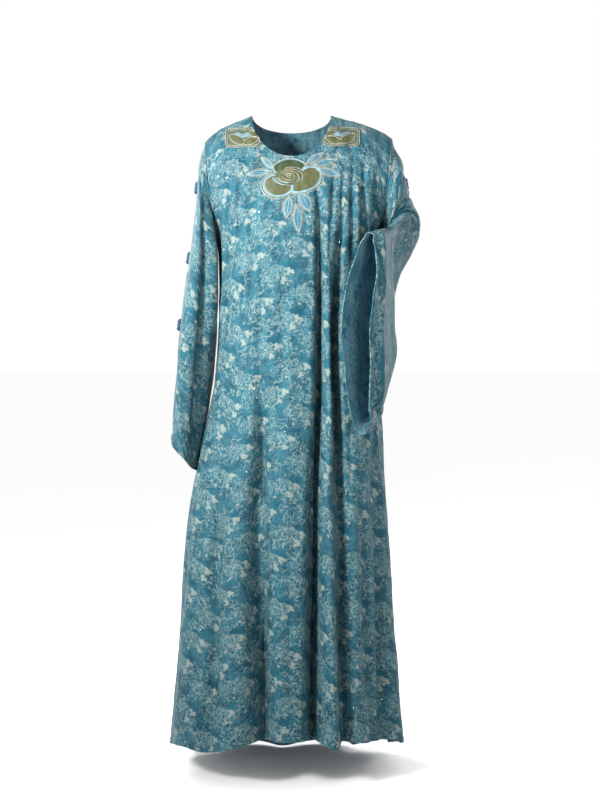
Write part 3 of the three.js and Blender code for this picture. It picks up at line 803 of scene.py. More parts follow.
@dataclass(frozen=True)
class Sleeve:
    """A sleeve as rings from the armhole to the cuff, each with its outer, front, inner and back points."""

    side: int
    rings: tuple[tuple[tuple[float, float, float], ...], ...]
    folds: tuple[SleeveFold, ...]
    crumples: tuple[Crumple, ...]
    panels: tuple[Panel, Panel]
    seed: int
    cuff_roll: float
    lip: float
    columns: int = 112
    rows: int = 150
    arm_power: float = 2.0
    cuff_power: float = 2.6

    def armhole(self, turn: Array) -> Array:
        """Points of the armhole seam: 0 at the shoulder tip, 0.25 in front and 0.5 at the underarm.

        Args:
            turn: Places round the seam, from 0 to 1.

        Returns:
            The points.
        """
        halves = []
        for panel in self.panels:
            line = panel.folded(np.float64(self.side), np.linspace(2, 1, 241))
            walked = loop_length(line)
            halves.append(read_at(np.where(turn <= 0.5, turn * 2, 2 - turn * 2), walked / walked[-1], line))
        return np.where((turn <= 0.5)[..., None], *halves)

    def base(self, round_: Array, along: Array) -> Array:
        """The sleeve's middle surface with no folds, on a grid of places round and along it.

        Args:
            round_: Places round the sleeve.
            along: Places along it, from 0 to 1 at the cuff.

        Returns:
            The points.
        """
        turn = round_ - np.floor(round_)
        lines = [self.armhole(turn)]
        for i, ring in enumerate(self.rings, start=1):
            outer, front, inner, back = (np.array(point, float) for point in ring)
            power = mix(self.arm_power, self.cuff_power, i / len(self.rings))
            sine = signed_power(np.sin(2 * math.pi * turn), 2 / power)[:, None]
            cosine = signed_power(np.cos(2 * math.pi * turn), 2 / power)[:, None]
            centre = (outer + inner) / 2
            to_front, to_back = ((value + np.sqrt(value**2 + 0.02)) / 2 for value in (sine, -sine))
            fore, aft = (front - centre) * to_front, (back - centre) * to_back
            lines.append(centre + (outer - centre) * cosine + fore + aft)
        return through(np.stack(lines), along)

    def folded(self, round_: Array, along: Array, extra: Array | float = 0.0) -> Array:
        """The middle surface with its folds, and with any extra way out.

        Args:
            round_: Places round the sleeve.
            along: Places along it, from 0 to 1 at the cuff.
            extra: The extra way out at each place.

        Returns:
            The points.
        """
        across = self.base(round_ + NORMAL_STEP, along) - self.base(round_ - NORMAL_STEP, along)
        low, high = np.minimum(along + NORMAL_STEP, 1), np.maximum(along - NORMAL_STEP, 0)
        outward = unit(np.cross(across, self.base(round_, low) - self.base(round_, high))) * self.side
        rounds, alongs = np.meshgrid(round_, along)
        reach = sum(fold.reach(rounds, alongs) for fold in self.folds)
        return self.base(round_, along) + outward * (reach + extra)[..., None]

    def cloth(self) -> Cloth:
        """The sleeve with folds, creases, wrinkles and a turned cuff.

        Returns:
            The sleeve's cloth.
        """
        round_ = np.arange(self.columns) / self.columns
        along = np.r_[np.linspace(0, 0.972, self.rows), 0.977, 0.9815, 0.984, 0.988, 0.992, 0.996, 1]
        rounds, alongs = np.meshgrid(round_, along)
        extra = sum((crumple.reach(rounds, alongs) for crumple in self.crumples), np.zeros(rounds.shape))
        circle = np.cos(2 * math.pi * rounds), np.sin(2 * math.pi * rounds)
        extra += 1.1 * ripple(circle[0] * 1.1 + alongs * 1.5, circle[1] * 1.1 - alongs * 0.8, self.seed)
        extra += 0.45 * ripple(circle[0] * 2.6 + alongs * 5, circle[1] * 2.6, self.seed + 1)
        extra *= smooth(alongs / 0.12)
        extra += 2.2 * bell(alongs - 0.012, 0.012) + self.cuff_roll * smooth((alongs - 0.978) / 0.006)
        near = smooth((circle[0] + 0.25) / 0.7)
        extra += near * self.lip * (0.45 * bell(alongs - 0.945, 0.022) - smooth((alongs - 0.945) / 0.055))
        points = self.folded(round_, along, extra)
        thickness = CLOTH_WALL + CUFF_TURN * (alongs > 0.983)
        return Cloth(points, grid_normals(points, True) * self.side, thickness, closes=True)


RIGHT_RINGS = (
    ((-217, 3, -100), (-209, -66, -165), (-196, 4, -272), (-209, 76, -175)),
    ((-224, 6, -180), (-213, -72, -225), (-193, 8, -305), (-215, 88, -235)),
    ((-233, 8, -270), (-214, -74, -300), (-188, 12, -355), (-220, 100, -310)),
    ((-252, 14, -380), (-220, -76, -400), (-184, 20, -435), (-227, 118, -405)),
    ((-266, 22, -490), (-230, -76, -505), (-187, 30, -532), (-235, 138, -512)),
    ((-273, 32, -590), (-240, -74, -608), (-198, 46, -640), (-242, 162, -612)),
    ((-283, 44, -670), (-249, -70, -698), (-214, 64, -730), (-251, 188, -698)),
    ((-291, 56, -742), (-256, -60, -782), (-232, 80, -818), (-260, 214, -785)),
)
LEFT_RINGS = (
    ((238, 12, -112), (222, -66, -150), (199, 2, -270), (222, 76, -165)),
    ((255, 24, -185), (231, -68, -180), (203, 2, -284), (230, 90, -205)),
    ((272, 32, -232), (238, -58, -208), (206, 0, -298), (240, 100, -250)),
    ((286, 28, -270), (245, -48, -224), (205, -6, -310), (246, 88, -312)),
    ((250, -12, -318), (238, -64, -236), (202, -34, -345), (223, 36, -392)),
    ((230, -88, -450), (218, -106, -258), (195, -74, -435), (209, -44, -600)),
    ((201, -154, -486), (192, -157, -270), (150, -128, -470), (181, -114, -674)),
    ((164, -224, -500), (163, -208, -280), (100, -180, -498), (148, -196, -720)),
)
RIGHT_FOLDS = (
    SleeveFold(0.3, 0.02, 0.06, 1.05, -17, 0.04),
    SleeveFold(0.2, -0.03, 0.3, 1.2, 7, 0.05),
    SleeveFold(0.365, 0.02, -0.02, 0.66, 21, 0.05),
    SleeveFold(0.41, 0, 0.4, 1.1, 6, 0.035),
    SleeveFold(0.62, 0.02, 0.15, 1.2, -13, 0.035),
    SleeveFold(0.72, 0.02, 0.2, 1.3, 12, 0.045),
    SleeveFold(0.84, -0.01, 0.25, 1.25, -14, 0.04),
)
LEFT_FOLDS = (
    SleeveFold(0.1, 0, 0.6, 1, -9, 0.06),
    SleeveFold(0.93, 0, 0.55, 1.3, 9, 0.05),
    SleeveFold(0.8, 0.01, 0.5, 1.2, -8, 0.035),
    SleeveFold(0.44, 0.01, 0.62, 1.2, 9, 0.05),
    SleeveFold(0.6, 0, 0.3, 0.9, -9, 0.05),
)


# ---- What lies on the cloth ----

SEAM_GAP = 0.3
ROSE = (-13.0, -156.0)
AHEAD_OF_FRONT = -420.0
NEAR_FRONT = 330
FILL_INSET = 0.4


class Skin:
    """What lies uppermost on the front, found by looking straight back at it."""

    def __init__(self, forms: Sequence[tuple[Array, Array]]) -> None:
        """Takes (points, faces) pairs in millimetres.

        Args:
            forms: The pairs, each with faces of the same size.
        """
        starts = np.cumsum([0, *(len(points) for points, _ in forms[:-1])])
        points = np.concatenate([points for points, _ in forms])
        faces = np.concatenate([faces + start for (_, faces), start in zip(forms, starts, strict=True)])
        self.tree = BVHTree.FromPolygons(points.tolist(), faces.tolist())

    def at(self, x: Array, z: Array) -> tuple[Array, Array]:
        """Where lines straight back through (x, z) meet the front.

        Args:
            x: Places across.
            z: Heights, of the same shape.

        Returns:
            The points met and the unit normals there.
        """
        spots, ways = [], []
        for across, height in zip(np.ravel(x), np.ravel(z), strict=True):
            start = Vector((float(across), AHEAD_OF_FRONT, float(height)))
            spot, way, _, _ = self.tree.ray_cast(start, Vector((0, 1, 0)))
            if spot is None:
                spot, way, _, _ = self.tree.find_nearest(start + Vector((0, NEAR_FRONT, 0)))
            spots.append(spot)
            ways.append(way if way.y < 0 else -way)
        shape = (*np.shape(x), 3)
        return np.array(spots).reshape(shape), np.array(ways).reshape(shape)


def tube(
    path: Array, ways: Array, across: Array | float, out: Array | float, sides: int, closes: bool
) -> Form:
    """A round or oval tube along a path.

    Args:
        path: The points of its middle line.
        ways: The way out of the cloth at each point.
        across: Its half width along the cloth.
        out: Its half height out of the cloth.
        sides: Faces round it.
        closes: True for a loop.

    Returns:
        The tube, whose cut places run round it and along it.
    """
    ahead = (np.roll(path, -1, 0) - np.roll(path, 1, 0)) if closes else np.gradient(path, axis=0)
    aside = unit(np.cross(unit(ahead), ways))
    up = unit(np.cross(aside, unit(ahead)))
    turn = np.arange(sides) * 2 * math.pi / sides
    half_across = np.broadcast_to(across, len(path))[:, None, None]
    half_out = np.broadcast_to(out, len(path))[:, None, None]
    over, round_ = np.cos(turn)[None, :, None], np.sin(turn)[None, :, None]
    points = path[:, None] + (over * up[:, None] * half_out + round_ * aside[:, None] * half_across)
    if closes:
        points = np.concatenate([points, points[:1]])
    walked = loop_length(points[:, 0])
    faces, places = quads_of(len(points), sides, True)
    if closes:
        faces = faces % (len(path) * sides)
        points = points[:-1]
    girth = 2 * math.pi * float(np.mean(half_across))
    cut = np.stack(np.meshgrid(np.arange(sides + 1) / sides * girth, walked), -1).reshape(-1, 2)
    corners = cut[places[:, ::-1]].reshape(-1, 2)
    return Form(points.reshape(-1, 3), faces[:, ::-1], corners, np.zeros(len(faces)))


def fine_ends(count: int, reach: int) -> Array:
    """A size of 1 along a cord that rounds off over its first and last points."""
    away = np.minimum(np.arange(count), np.arange(count)[::-1]) / reach
    return np.sqrt(np.maximum(1 - (1 - clamp01(away)) ** 2, 0.01))


@dataclass(frozen=True)
class CordLine:
    """A cord that is laid on the front along a line seen from in front."""

    radius: float
    rise: float = 0.55
    flat: float = 0.85
    sides: int = 6

    def lay(self, skin: Skin, line: Array, closes: bool) -> Form:
        """The cord along (x, z) points.

        Args:
            skin: What it lies on.
            line: The points.
            closes: True for a loop.

        Returns:
            The cord.
        """
        spots, ways = skin.at(line[:, 0], line[:, 1])
        size = np.ones(len(line)) if closes else fine_ends(len(line), 3)
        path = spots + ways * (self.radius * self.rise * size)[:, None]
        return tube(path, ways, self.radius * size, self.radius * self.flat * size, self.sides, closes)


class Look(Enum):
    """How an applied piece is filled and edged."""

    PETAL = "satin petal with pale-blue and ivory edges"
    BACK = "dark petal under an outer cord"
    HEART = "swirled heart"
    LEAF = "corded leaf"


@dataclass(frozen=True)
class Leaf:
    """A petal or leaf: where its middle line runs from the rose's middle, its width and how it is shaped."""

    name: str
    start: tuple[float, float]
    end: tuple[float, float]
    width: float
    widest: float
    blunt: float
    look: Look
    crown: float

    def half(self, t: Array, grow: float = 0.0) -> Array:
        """Half the width at a share t of its length.

        Args:
            t: The share.
            grow: What is added to the half width at the widest.

        Returns:
            The half width.
        """
        lean = math.log(0.5) / math.log(self.widest)
        return (self.width / 2 + grow) * np.sin(math.pi * t**lean) ** self.blunt

    def line(self, grow: float) -> tuple[Array, Array, Array]:
        """The middle line's two ends and the way across, made longer at both ends by grow.

        Args:
            grow: How much longer.

        Returns:
            The start, the end and a unit vector across.
        """
        start, end = (np.array(point, float) + np.array(ROSE) for point in (self.start, self.end))
        along = (end - start) / np.linalg.norm(end - start)
        return start - along * grow, end + along * grow, np.array([-along[1], along[0]])

    def outline(self, grow: float, steps: int = 22) -> Array:
        """The closed outline as (x, z) points, made bigger all round by grow.

        Args:
            grow: How much bigger.
            steps: Steps down each side.

        Returns:
            The points.
        """
        start, end, aside = self.line(grow)
        t = (1 - np.cos(np.linspace(0, math.pi, steps + 1))) / 2
        middle = start + (end - start) * t[:, None]
        reach = aside * self.half(t, grow)[:, None]
        return np.concatenate([middle + reach, (middle - reach)[-2:0:-1]])

    def fill(self, skin: Skin) -> Cloth:
        """The satin fill as a crowned sheet that lies on the cloth.

        Args:
            skin: What it lies on.

        Returns:
            The sheet.
        """
        start, end, aside = self.line(-FILL_INSET)
        t = (1 - np.cos(np.linspace(0.18, math.pi - 0.18, 23))) / 2
        s = np.linspace(-1, 1, 13)
        across = (self.half(t, -FILL_INSET)[:, None] * s)[..., None]
        flat = (start + (end - start) * t[:, None])[:, None] + aside * across
        spots, ways = skin.at(flat[..., 0], flat[..., 1])
        crown = self.crown * (1 - np.abs(s) ** 2.4)[None, :] * (np.sin(math.pi * t) ** 0.5)[:, None]
        thickness = 0.35 + crown
        return Cloth(spots + ways * (SEAM_GAP + thickness / 2)[..., None], ways, thickness)


@dataclass(frozen=True)
class Patch:
    """A shoulder patch: its box seen from in front, and the side of the neck that it lies on."""

    name: str
    low: tuple[float, float]
    high: tuple[float, float]
    side: int
    corner: float = 7.0
    thickness: float = 1.2

    def outline(self, inset: float, steps: int = 64) -> Array:
        """The rounded outline as (x, z) points, moved in by inset.

        Args:
            inset: How far in.
            steps: How many points.

        Returns:
            The points.
        """
        turn = np.arange(steps) * 2 * math.pi / steps
        low, high = np.array(self.low) + inset, np.array(self.high) - inset
        centre, half = (low + high) / 2, (high - low) / 2
        round_ = np.stack([np.cos(turn), np.sin(turn)], -1)
        return centre + signed_power(round_, 2 / self.corner) * half

    def fill(self, skin: Skin) -> Cloth:
        """The patch's ground as a thin sheet that lies on the cloth.

        Args:
            skin: What it lies on.

        Returns:
            The sheet.
        """
        low, high = np.array(self.low), np.array(self.high)
        centre, reach = (low + high) / 2, (high - low) / 2
        t = -np.cos(np.linspace(0.06, math.pi - 0.06, 27))
        s = np.linspace(-1, 1, 15)
        half = (1 - np.abs(t) ** self.corner) ** (1 / self.corner)
        z = centre[1] + reach[1] * half[:, None] * s
        x = np.broadcast_to(centre[0] + reach[0] * t[:, None], z.shape)
        spots, ways = skin.at(x, z)
        thickness = np.full(x.shape, self.thickness)
        return Cloth(spots + ways * (SEAM_GAP + self.thickness / 2), ways, thickness)

    def lobe(self, start: tuple[float, float], end: tuple[float, float], width: float, look: Look) -> Leaf:
        """A lobe on the patch, its ends given as shares of the patch's box from the arm's side.

        Args:
            start: Its first end.
            end: Its other end.
            width: Its width.
            look: How it is filled.

        Returns:
            The lobe.
        """
        low, high = np.array(self.low), np.array(self.high)
        ends = []
        for share in (start, end):
            across = share[0] if self.side < 0 else 1 - share[0]
            ends.append(tuple(low + (high - low) * (across, share[1]) - ROSE))
        return Leaf("lobe", ends[0], ends[1], width, 0.5, 0.6, look, 1.3)


# ---- Finishes ----

Colour = tuple[float, float, float]


def tint(red: int, green: int, blue: int) -> Colour:
    """A colour written in the usual 0 to 255 steps, as the shaders take it.

    Args:
        red: The red step.
        green: The green step.
        blue: The blue step.

    Returns:
        The colour in linear light.
    """
    steps = np.array((red, green, blue)) / 255
    linear = np.where(steps <= 0.04045, steps / 12.92, ((steps + 0.055) / 1.055) ** 2.4)
    return tuple(float(value) for value in linear)


class Signal:
    """A shader socket that can be written in sums with numbers and other signals."""

    def __init__(self, bench: "Bench", socket: bpy.types.NodeSocket) -> None:
        """Takes the bench that it belongs to and its socket."""
        self.bench = bench
        self.socket = socket

    def _math(self, operation: str, first: "Signal | float", second: "Signal | float") -> "Signal":
        """A Math node on two values."""
        return self.bench.node("ShaderNodeMath", {"operation": operation}, {0: first, 1: second})

    def __add__(self, other: "Signal | float") -> "Signal":
        """The sum."""
        return self._math("ADD", self, other)

    def __radd__(self, other: float) -> "Signal":
        """The sum with a number in front."""
        return self._math("ADD", other, self)

    def __sub__(self, other: "Signal | float") -> "Signal":
        """The difference."""
        return self._math("SUBTRACT", self, other)

    def __rsub__(self, other: float) -> "Signal":
        """The difference from a number."""
        return self._math("SUBTRACT", other, self)

    def __mul__(self, other: "Signal | float") -> "Signal":
        """The product."""
        return self._math("MULTIPLY", self, other)

    def __rmul__(self, other: float) -> "Signal":
        """The product with a number in front."""
        return self._math("MULTIPLY", other, self)

    def __truediv__(self, other: "Signal | float") -> "Signal":
        """The quotient."""
        return self._math("DIVIDE", self, other)

    def wave(self) -> "Signal":
        """The sine."""
        return self._math("SINE", self, 0.0)

    def size(self) -> "Signal":
        """The value without its sign."""
        return self._math("ABSOLUTE", self, 0.0)

    def rest(self) -> "Signal":
        """What is left above the whole number below."""
        return self._math("FRACT", self, 0.0)

    def angle(self, other: "Signal") -> "Signal":
        """The angle whose tangent is this over another."""
        return self._math("ARCTAN2", self, other)

    def lower(self, other: "Signal | float") -> "Signal":
        """The smaller of two."""
        return self._math("MINIMUM", self, other)

    def higher(self, other: "Signal | float") -> "Signal":
        """The larger of two."""
        return self._math("MAXIMUM", self, other)

    def step(self, start: float, end: float) -> "Signal":
        """A soft step from 0 at start to 1 at end; start may be the larger.

        Args:
            start: Where it is 0.
            end: Where it is 1.

        Returns:
            The step.
        """
        low, high, first, last = (start, end, 0.0, 1.0) if start < end else (end, start, 1.0, 0.0)
        settings = {"interpolation_type": "SMOOTHSTEP"}
        return self.bench.node("ShaderNodeMapRange", settings, {0: self, 1: low, 2: high, 3: first, 4: last})


class Bench:
    """Where a finish is put together: a new material with one Principled shader."""

    def __init__(self, name: str) -> None:
        """Starts a material of that name.

        Args:
            name: The material's name.
        """
        self.material = bpy.data.materials.new(name)
        self.material.use_nodes = True
        self.tree = self.material.node_tree
        self.shader = self.tree.nodes["Principled BSDF"]

    def node(self, kind: str, settings: dict, inputs: dict, output: int = 0) -> Signal:
        """Adds a node.

        Args:
            kind: The node's type.
            settings: Its own properties, set first.
            inputs: Values or signals by socket number.
            output: Which output is wanted.

        Returns:
            That output.
        """
        made = self.tree.nodes.new(kind)
        for name, value in settings.items():
            setattr(made, name, value)
        for key, value in inputs.items():
            self._feed(made.inputs[key], value)
        return Signal(self, made.outputs[output])

    def _feed(self, socket: bpy.types.NodeSocket, value: Signal | float | Sequence[float]) -> None:
        """Links a signal to a socket, or sets the socket to a value.

        Args:
            socket: The socket.
            value: The signal or the value.
        """
        if isinstance(value, Signal):
            self.tree.links.new(value.socket, socket)
        elif socket.type == "RGBA":
            socket.default_value = (*value, 1.0)
        else:
            socket.default_value = value

    def place(self) -> Signal:
        """The place on the flat cloth, in metres."""
        return self.node("ShaderNodeUVMap", {"uv_map": CUT_MAP}, {})

    def parts(self, vector: Signal) -> tuple[Signal, Signal]:
        """A vector's first two parts.

        Args:
            vector: The vector.

        Returns:
            Its x and y.
        """
        made = self.tree.nodes.new("ShaderNodeSeparateXYZ")
        self.tree.links.new(vector.socket, made.inputs[0])
        return Signal(self, made.outputs[0]), Signal(self, made.outputs[1])

    def whole(self, x: Signal, y: Signal) -> Signal:
        """A vector from two parts."""
        return self.node("ShaderNodeCombineXYZ", {}, {0: x, 1: y})

    def vector(self, operation: str, *values: Signal | Sequence[float], output: int = 0) -> Signal:
        """A Vector Math node on two or three values."""
        return self.node("ShaderNodeVectorMath", {"operation": operation}, dict(enumerate(values)), output)

    def scaled(self, place: Signal, across: float, up: float) -> Signal:
        """A place with its two parts multiplied."""
        return self.vector("MULTIPLY", place, (across, up, 1))

    def away(self, place: Signal, across: float, up: float) -> Signal:
        """How far a place is from a spot."""
        return self.vector("DISTANCE", place, (across, up, 0), output=1)

    def noise(self, place: Signal, scale: float, detail: float = 2.0, output: int = 0) -> Signal:
        """Noise of about 0 to 1, or three of them as a colour at output 1."""
        inputs = {0: place, 2: scale, 3: detail}
        return self.node("ShaderNodeTexNoise", {"noise_dimensions": "2D"}, inputs, output)

    def blend(self, share: Signal | float, first: Signal | Colour, second: Signal | Colour) -> Signal:
        """A colour between two."""
        return self.node("ShaderNodeMix", {"data_type": "RGBA"}, {0: share, 6: first, 7: second}, 2)

    def relief(self, height: Signal, depth: float) -> Signal:
        """A Normal from heights of 0 to 1 that are depth metres tall."""
        return self.node("ShaderNodeBump", {}, {"Height": height, "Distance": depth, "Strength": 1.0})

    def finish(self, sockets: dict[str, Signal | float | Sequence[float]]) -> bpy.types.Material:
        """Sets the shader's sockets.

        Args:
            sockets: A signal or a fixed value for each socket by name.

        Returns:
            The material.
        """
        for name, value in sockets.items():
            self._feed(self.shader.inputs[name], value)
        return self.material


@dataclass(frozen=True)
class Jacquard:
    """The satin cloth with its woven flowers: a fan of fine rays, a solid bloom and thin scribbled lines."""

    name: str
    ground: Colour
    deep: Colour
    motif: Colour
    vein: Colour
    strength: float
    shine: float
    repeat: tuple[float, float] = (0.116, 0.0535)
    drift: float = 0.08
    sway: float = 0.012
    peak: tuple[float, float] = (-6.0, 24.0)
    stroke: tuple[float, float] = (112.0, 0.16)
    # The discs of a bloom in millimetres from the middle of a repeat: across, up, radius.
    bloom: tuple[tuple[float, float, float], ...] = (
        (22, 4, 5.0),
        (28, 0, 4.2),
        (19, -4, 3.6),
        (6, -13, 3.6),
        (9, -18, 4.4),
        (3, -20, 3.4),
        (-26, -19, 3.0),
    )

    def make(self) -> bpy.types.Material:
        """Puts the finish together.

        Returns:
            The material.
        """
        bench = Bench(self.name)
        place = bench.place()
        bloom, lines = self._motif(bench, place)
        stipple = bench.noise(bench.scaled(place, 1, 0.55), 520, 1)
        worn = bench.blend(bench.noise(place, 30, 2).step(0.35, 0.7), self.ground, self.deep)
        thin = lines * self.strength * (0.7 + 0.45 * stipple)
        solid = bloom * self.strength * (0.78 + 0.3 * stipple)
        colour = bench.blend(thin.lower(1.0), worn, self.vein)
        colour = bench.blend(solid.lower(1.0), colour, self.motif)
        weave = bench.noise(bench.scaled(place, 1, 0.3), 1500, 1)
        height = 0.6 * bloom.higher(lines) + 0.4 * stipple + 0.25 * weave
        return bench.finish(
            {
                "Base Color": colour,
                "Roughness": self.shine + 0.14 * bloom.higher(lines) + 0.1 * stipple,
                "Normal": bench.relief(height, 0.0003),
                "Specular IOR Level": 0.2,
                "Specular Tint": tint(95, 165, 185),
            }
        )

    def _motif(self, bench: Bench, place: Signal) -> tuple[Signal, Signal]:
        """The solid blooms and the fine lines, each from 0 to 1.

        Args:
            bench: Where the finish is put together.
            place: The place on the flat cloth.

        Returns:
            The blooms and the lines.
        """
        shake = bench.vector("SUBTRACT", bench.noise(place, 110, 3, 1), (0.5, 0.5, 0.5))
        moved = bench.vector("MULTIPLY_ADD", shake, (self.sway, self.sway, 0), place)
        x, y = bench.parts(moved)
        row = y / self.repeat[1]
        up = row.rest()
        column = x / self.repeat[0] + ((row - up) * 0.5).rest() + self.drift * row
        wide, high = self.repeat[0] / MM, self.repeat[1] / MM
        cell = bench.whole((column.rest() - 0.5) * wide, (up - 0.5) * high)
        edge, *discs = (bench.away(cell, across, rise) - radius for across, rise, radius in self.bloom)
        for disc in discs:
            edge = edge.lower(disc)
        bloom = (edge + 5.0 * (bench.noise(place, 330, 2) - 0.5)).step(1.2, -1.0)
        # The fan: rays spread down from its peak, with a straight rim on one side and bare ground past it.
        across, rise = bench.parts(cell)
        turn = (across - self.peak[0]).angle(self.peak[1] - rise)
        reach = bench.away(cell, *self.peak)
        fan = reach.step(45, 38) * (turn + 0.2).size().step(1.14, 1.06)
        rays = (((turn * 8.0) + 0.09 * reach).wave().size() * reach / 9.0).step(1.7, 0.6) * reach.step(4, 9)
        rim = (turn - 0.93).size().step(0.075, 0.03) * reach.step(46, 42)
        curl = ((bench.noise(moved, 62, 1.5) * 4.2).rest() - 0.5).size().step(0.21, 0.11)
        upright = self._strokes(bench, bench.scaled(moved, 1.3, 0.42))
        level = self._strokes(bench, bench.scaled(moved, 0.42, 1.2))
        swap = bench.noise(place, 62, 1).step(0.44, 0.54)
        strokes = bench.node("ShaderNodeMix", {}, {0: swap, 2: upright, 3: level})
        broken = bench.noise(bench.scaled(place, 1, 0.7), 150, 2).step(0.32, 0.5)
        strokes = strokes * (0.25 + 0.85 * broken)
        crossed = upright * level.higher(0.4) * 0.8
        dense = (curl * 0.45).higher(strokes).higher(rays * 0.5).higher(crossed) * fan
        patchy = bench.noise(place, 26, 2).step(0.4, 0.54)
        loose = strokes.higher(curl * 0.3) * (0.25 + 0.65 * patchy) * (1 - fan)
        bare = (turn - 1.28).size().step(0.36, 0.26) * reach.step(48, 36) * 0.85
        return bloom, dense.higher(loose * (1 - bare)).higher(rim * 0.9)

    def _strokes(self, bench: Bench, place: Signal) -> Signal:
        """Short straight strokes that cross each other.

        Args:
            bench: Where the finish is put together.
            place: The place on the cloth, stretched as the strokes are to run.

        Returns:
            The walls between scattered cells, from 0 to 1.
        """
        scale, thick = self.stroke
        settings = {"voronoi_dimensions": "2D", "feature": "DISTANCE_TO_EDGE"}
        wall = bench.node("ShaderNodeTexVoronoi", settings, {0: place, "Scale": scale})
        return wall.step(thick, thick / 2)


@dataclass(frozen=True)
class Satin:
    """A smooth satin fill stitched in fine parallel rows, darker in random patches and with painted shading
    between the rows.
    """

    name: str
    colour: Colour
    tone_and_row_shading: Colour
    rows: float = 700.0

    def make(self) -> bpy.types.Material:
        """Puts the finish together.

        Returns:
            The material.
        """
        bench = Bench(self.name)
        place = bench.place()
        x, _ = bench.parts(place)
        bent = x + 0.0012 * bench.noise(place, 160, 2)
        row = (bent * (self.rows * math.pi)).wave() * 0.5 + 0.5
        patchy = bench.noise(place, 120, 2).step(0.3, 0.7)
        fine = bench.noise(bench.scaled(place, 1, 0.2), 2100, 1)
        # The second colour comes in random patches of tone and between the stitch rows, where the darkening
        # is painted shading.
        colour = bench.blend((0.55 * patchy + 0.4 * (1 - row)).lower(1.0), self.colour, self.tone_and_row_shading)
        return bench.finish(
            {
                "Base Color": colour,
                "Roughness": 0.42 + 0.16 * fine,
                "Normal": bench.relief(0.7 * row + 0.3 * fine, 0.0003),
                "Specular IOR Level": 0.2,
                "Sheen Weight": 0.03,
                "Sheen Roughness": 0.4,
            }
        )


@dataclass(frozen=True)
class Twist:
    """A twisted cord, with painted shading that darkens the grooves between its strands."""

    name: str
    colour: Colour
    groove_shading: Colour
    pitch: float = 0.0034
    strands: float = 640.0

    def make(self) -> bpy.types.Material:
        """Puts the finish together.

        Returns:
            The material.
        """
        bench = Bench(self.name)
        place = bench.place()
        x, y = bench.parts(place)
        strand = ((y / self.pitch + x * self.strands / 2) * math.pi).wave().size()
        fuzz = bench.noise(place, 900, 2)
        # The grooves between the strands take the darker colour: painted shading.
        colour = bench.blend(strand.step(0.55, 0.05), self.colour, self.groove_shading)
        return bench.finish(
            {
                "Base Color": colour,
                "Roughness": 0.5 + 0.15 * fuzz,
                "Normal": bench.relief(strand + 0.2 * fuzz, 0.0004),
                "Specular IOR Level": 0.25,
                "Sheen Weight": 0.03,
            }
        )


@dataclass(frozen=True)
class Stone:
    """A small clear faceted stone."""

    name: str
    colour: Colour

    def make(self) -> bpy.types.Material:
        """Puts the finish together.

        Returns:
            The material.
        """
        bench = Bench(self.name)
        fleck = bench.noise(bench.place(), 300, 1)
        colour = bench.blend(fleck, self.colour, (1.0, 1.0, 1.0))
        rough = 0.06 + 0.04 * fleck
        return bench.finish(
            {"Base Color": colour, "Roughness": rough, "Metallic": 0.75, "Coat Weight": 0.6}
        )


@dataclass(frozen=True)
class Ground:
    """The plain pale floor."""

    name: str
    colour: Colour

    def make(self) -> bpy.types.Material:
        """Puts the finish together.

        Returns:
            The material.
        """
        bench = Bench(self.name)
        spot = bench.node("ShaderNodeTexCoord", {}, {}, 3)
        haze = bench.noise(spot, 0.8, 2)
        colour = bench.blend(0.2 * haze, self.colour, tint(246, 247, 247))
        return bench.finish({"Base Color": colour, "Roughness": 0.85})


class Wardrobe:
    """Every finish of the kaftan, made once."""

    def __init__(self) -> None:
        """Makes the materials. Those of the cords are kept by colour."""
        ground, deep = tint(27, 67, 80), tint(18, 52, 65)
        motif, vein = tint(104, 113, 109), tint(88, 106, 106)
        self.cloth = Jacquard("teal_jacquard", ground, deep, motif, vein, 0.95, 0.5).make()
        ground, deep = tint(76, 108, 118), tint(62, 94, 106)
        motif, vein = tint(26, 60, 76), tint(32, 68, 84)
        self.reverse = Jacquard("teal_jacquard_reverse", ground, deep, motif, vein, 0.75, 0.55).make()
        # The second colour of each satin gives its random darker patches and the painted shading between its
        # stitch rows.
        self.olive = Satin("olive_satin", tint(66, 68, 42), tint(46, 52, 32)).make()
        self.dark_olive = Satin("dark_olive_satin", tint(42, 54, 32), tint(30, 42, 26)).make()
        self.mist = Satin("mist_satin", tint(62, 72, 58), tint(46, 58, 50)).make()
        self.sky = Satin("sky_satin", tint(40, 88, 104), tint(22, 64, 82)).make()
        self.frost = Satin("frost_satin", tint(92, 108, 114), tint(66, 88, 96)).make()
        self.teal_satin = Satin("teal_satin", tint(24, 58, 80), tint(16, 42, 60), 500).make()
        # The second colour of each cord is the painted shading in its grooves.
        self.cords = {
            "ivory": Twist("ivory_cord", tint(142, 142, 132), tint(104, 100, 88)).make(),
            "gold": Twist("gold_brown_cord", tint(58, 50, 36), tint(38, 34, 26), 0.0022).make(),
            "blue": Twist("pale_blue_cord", tint(94, 134, 146), tint(64, 104, 120)).make(),
            "tone": Twist("tone_cord", tint(84, 114, 118), tint(44, 78, 92), 0.003).make(),
        }
        self.stone = Stone("rhinestone", tint(205, 238, 245)).make()


# ---- The garment's sub-assemblies ----


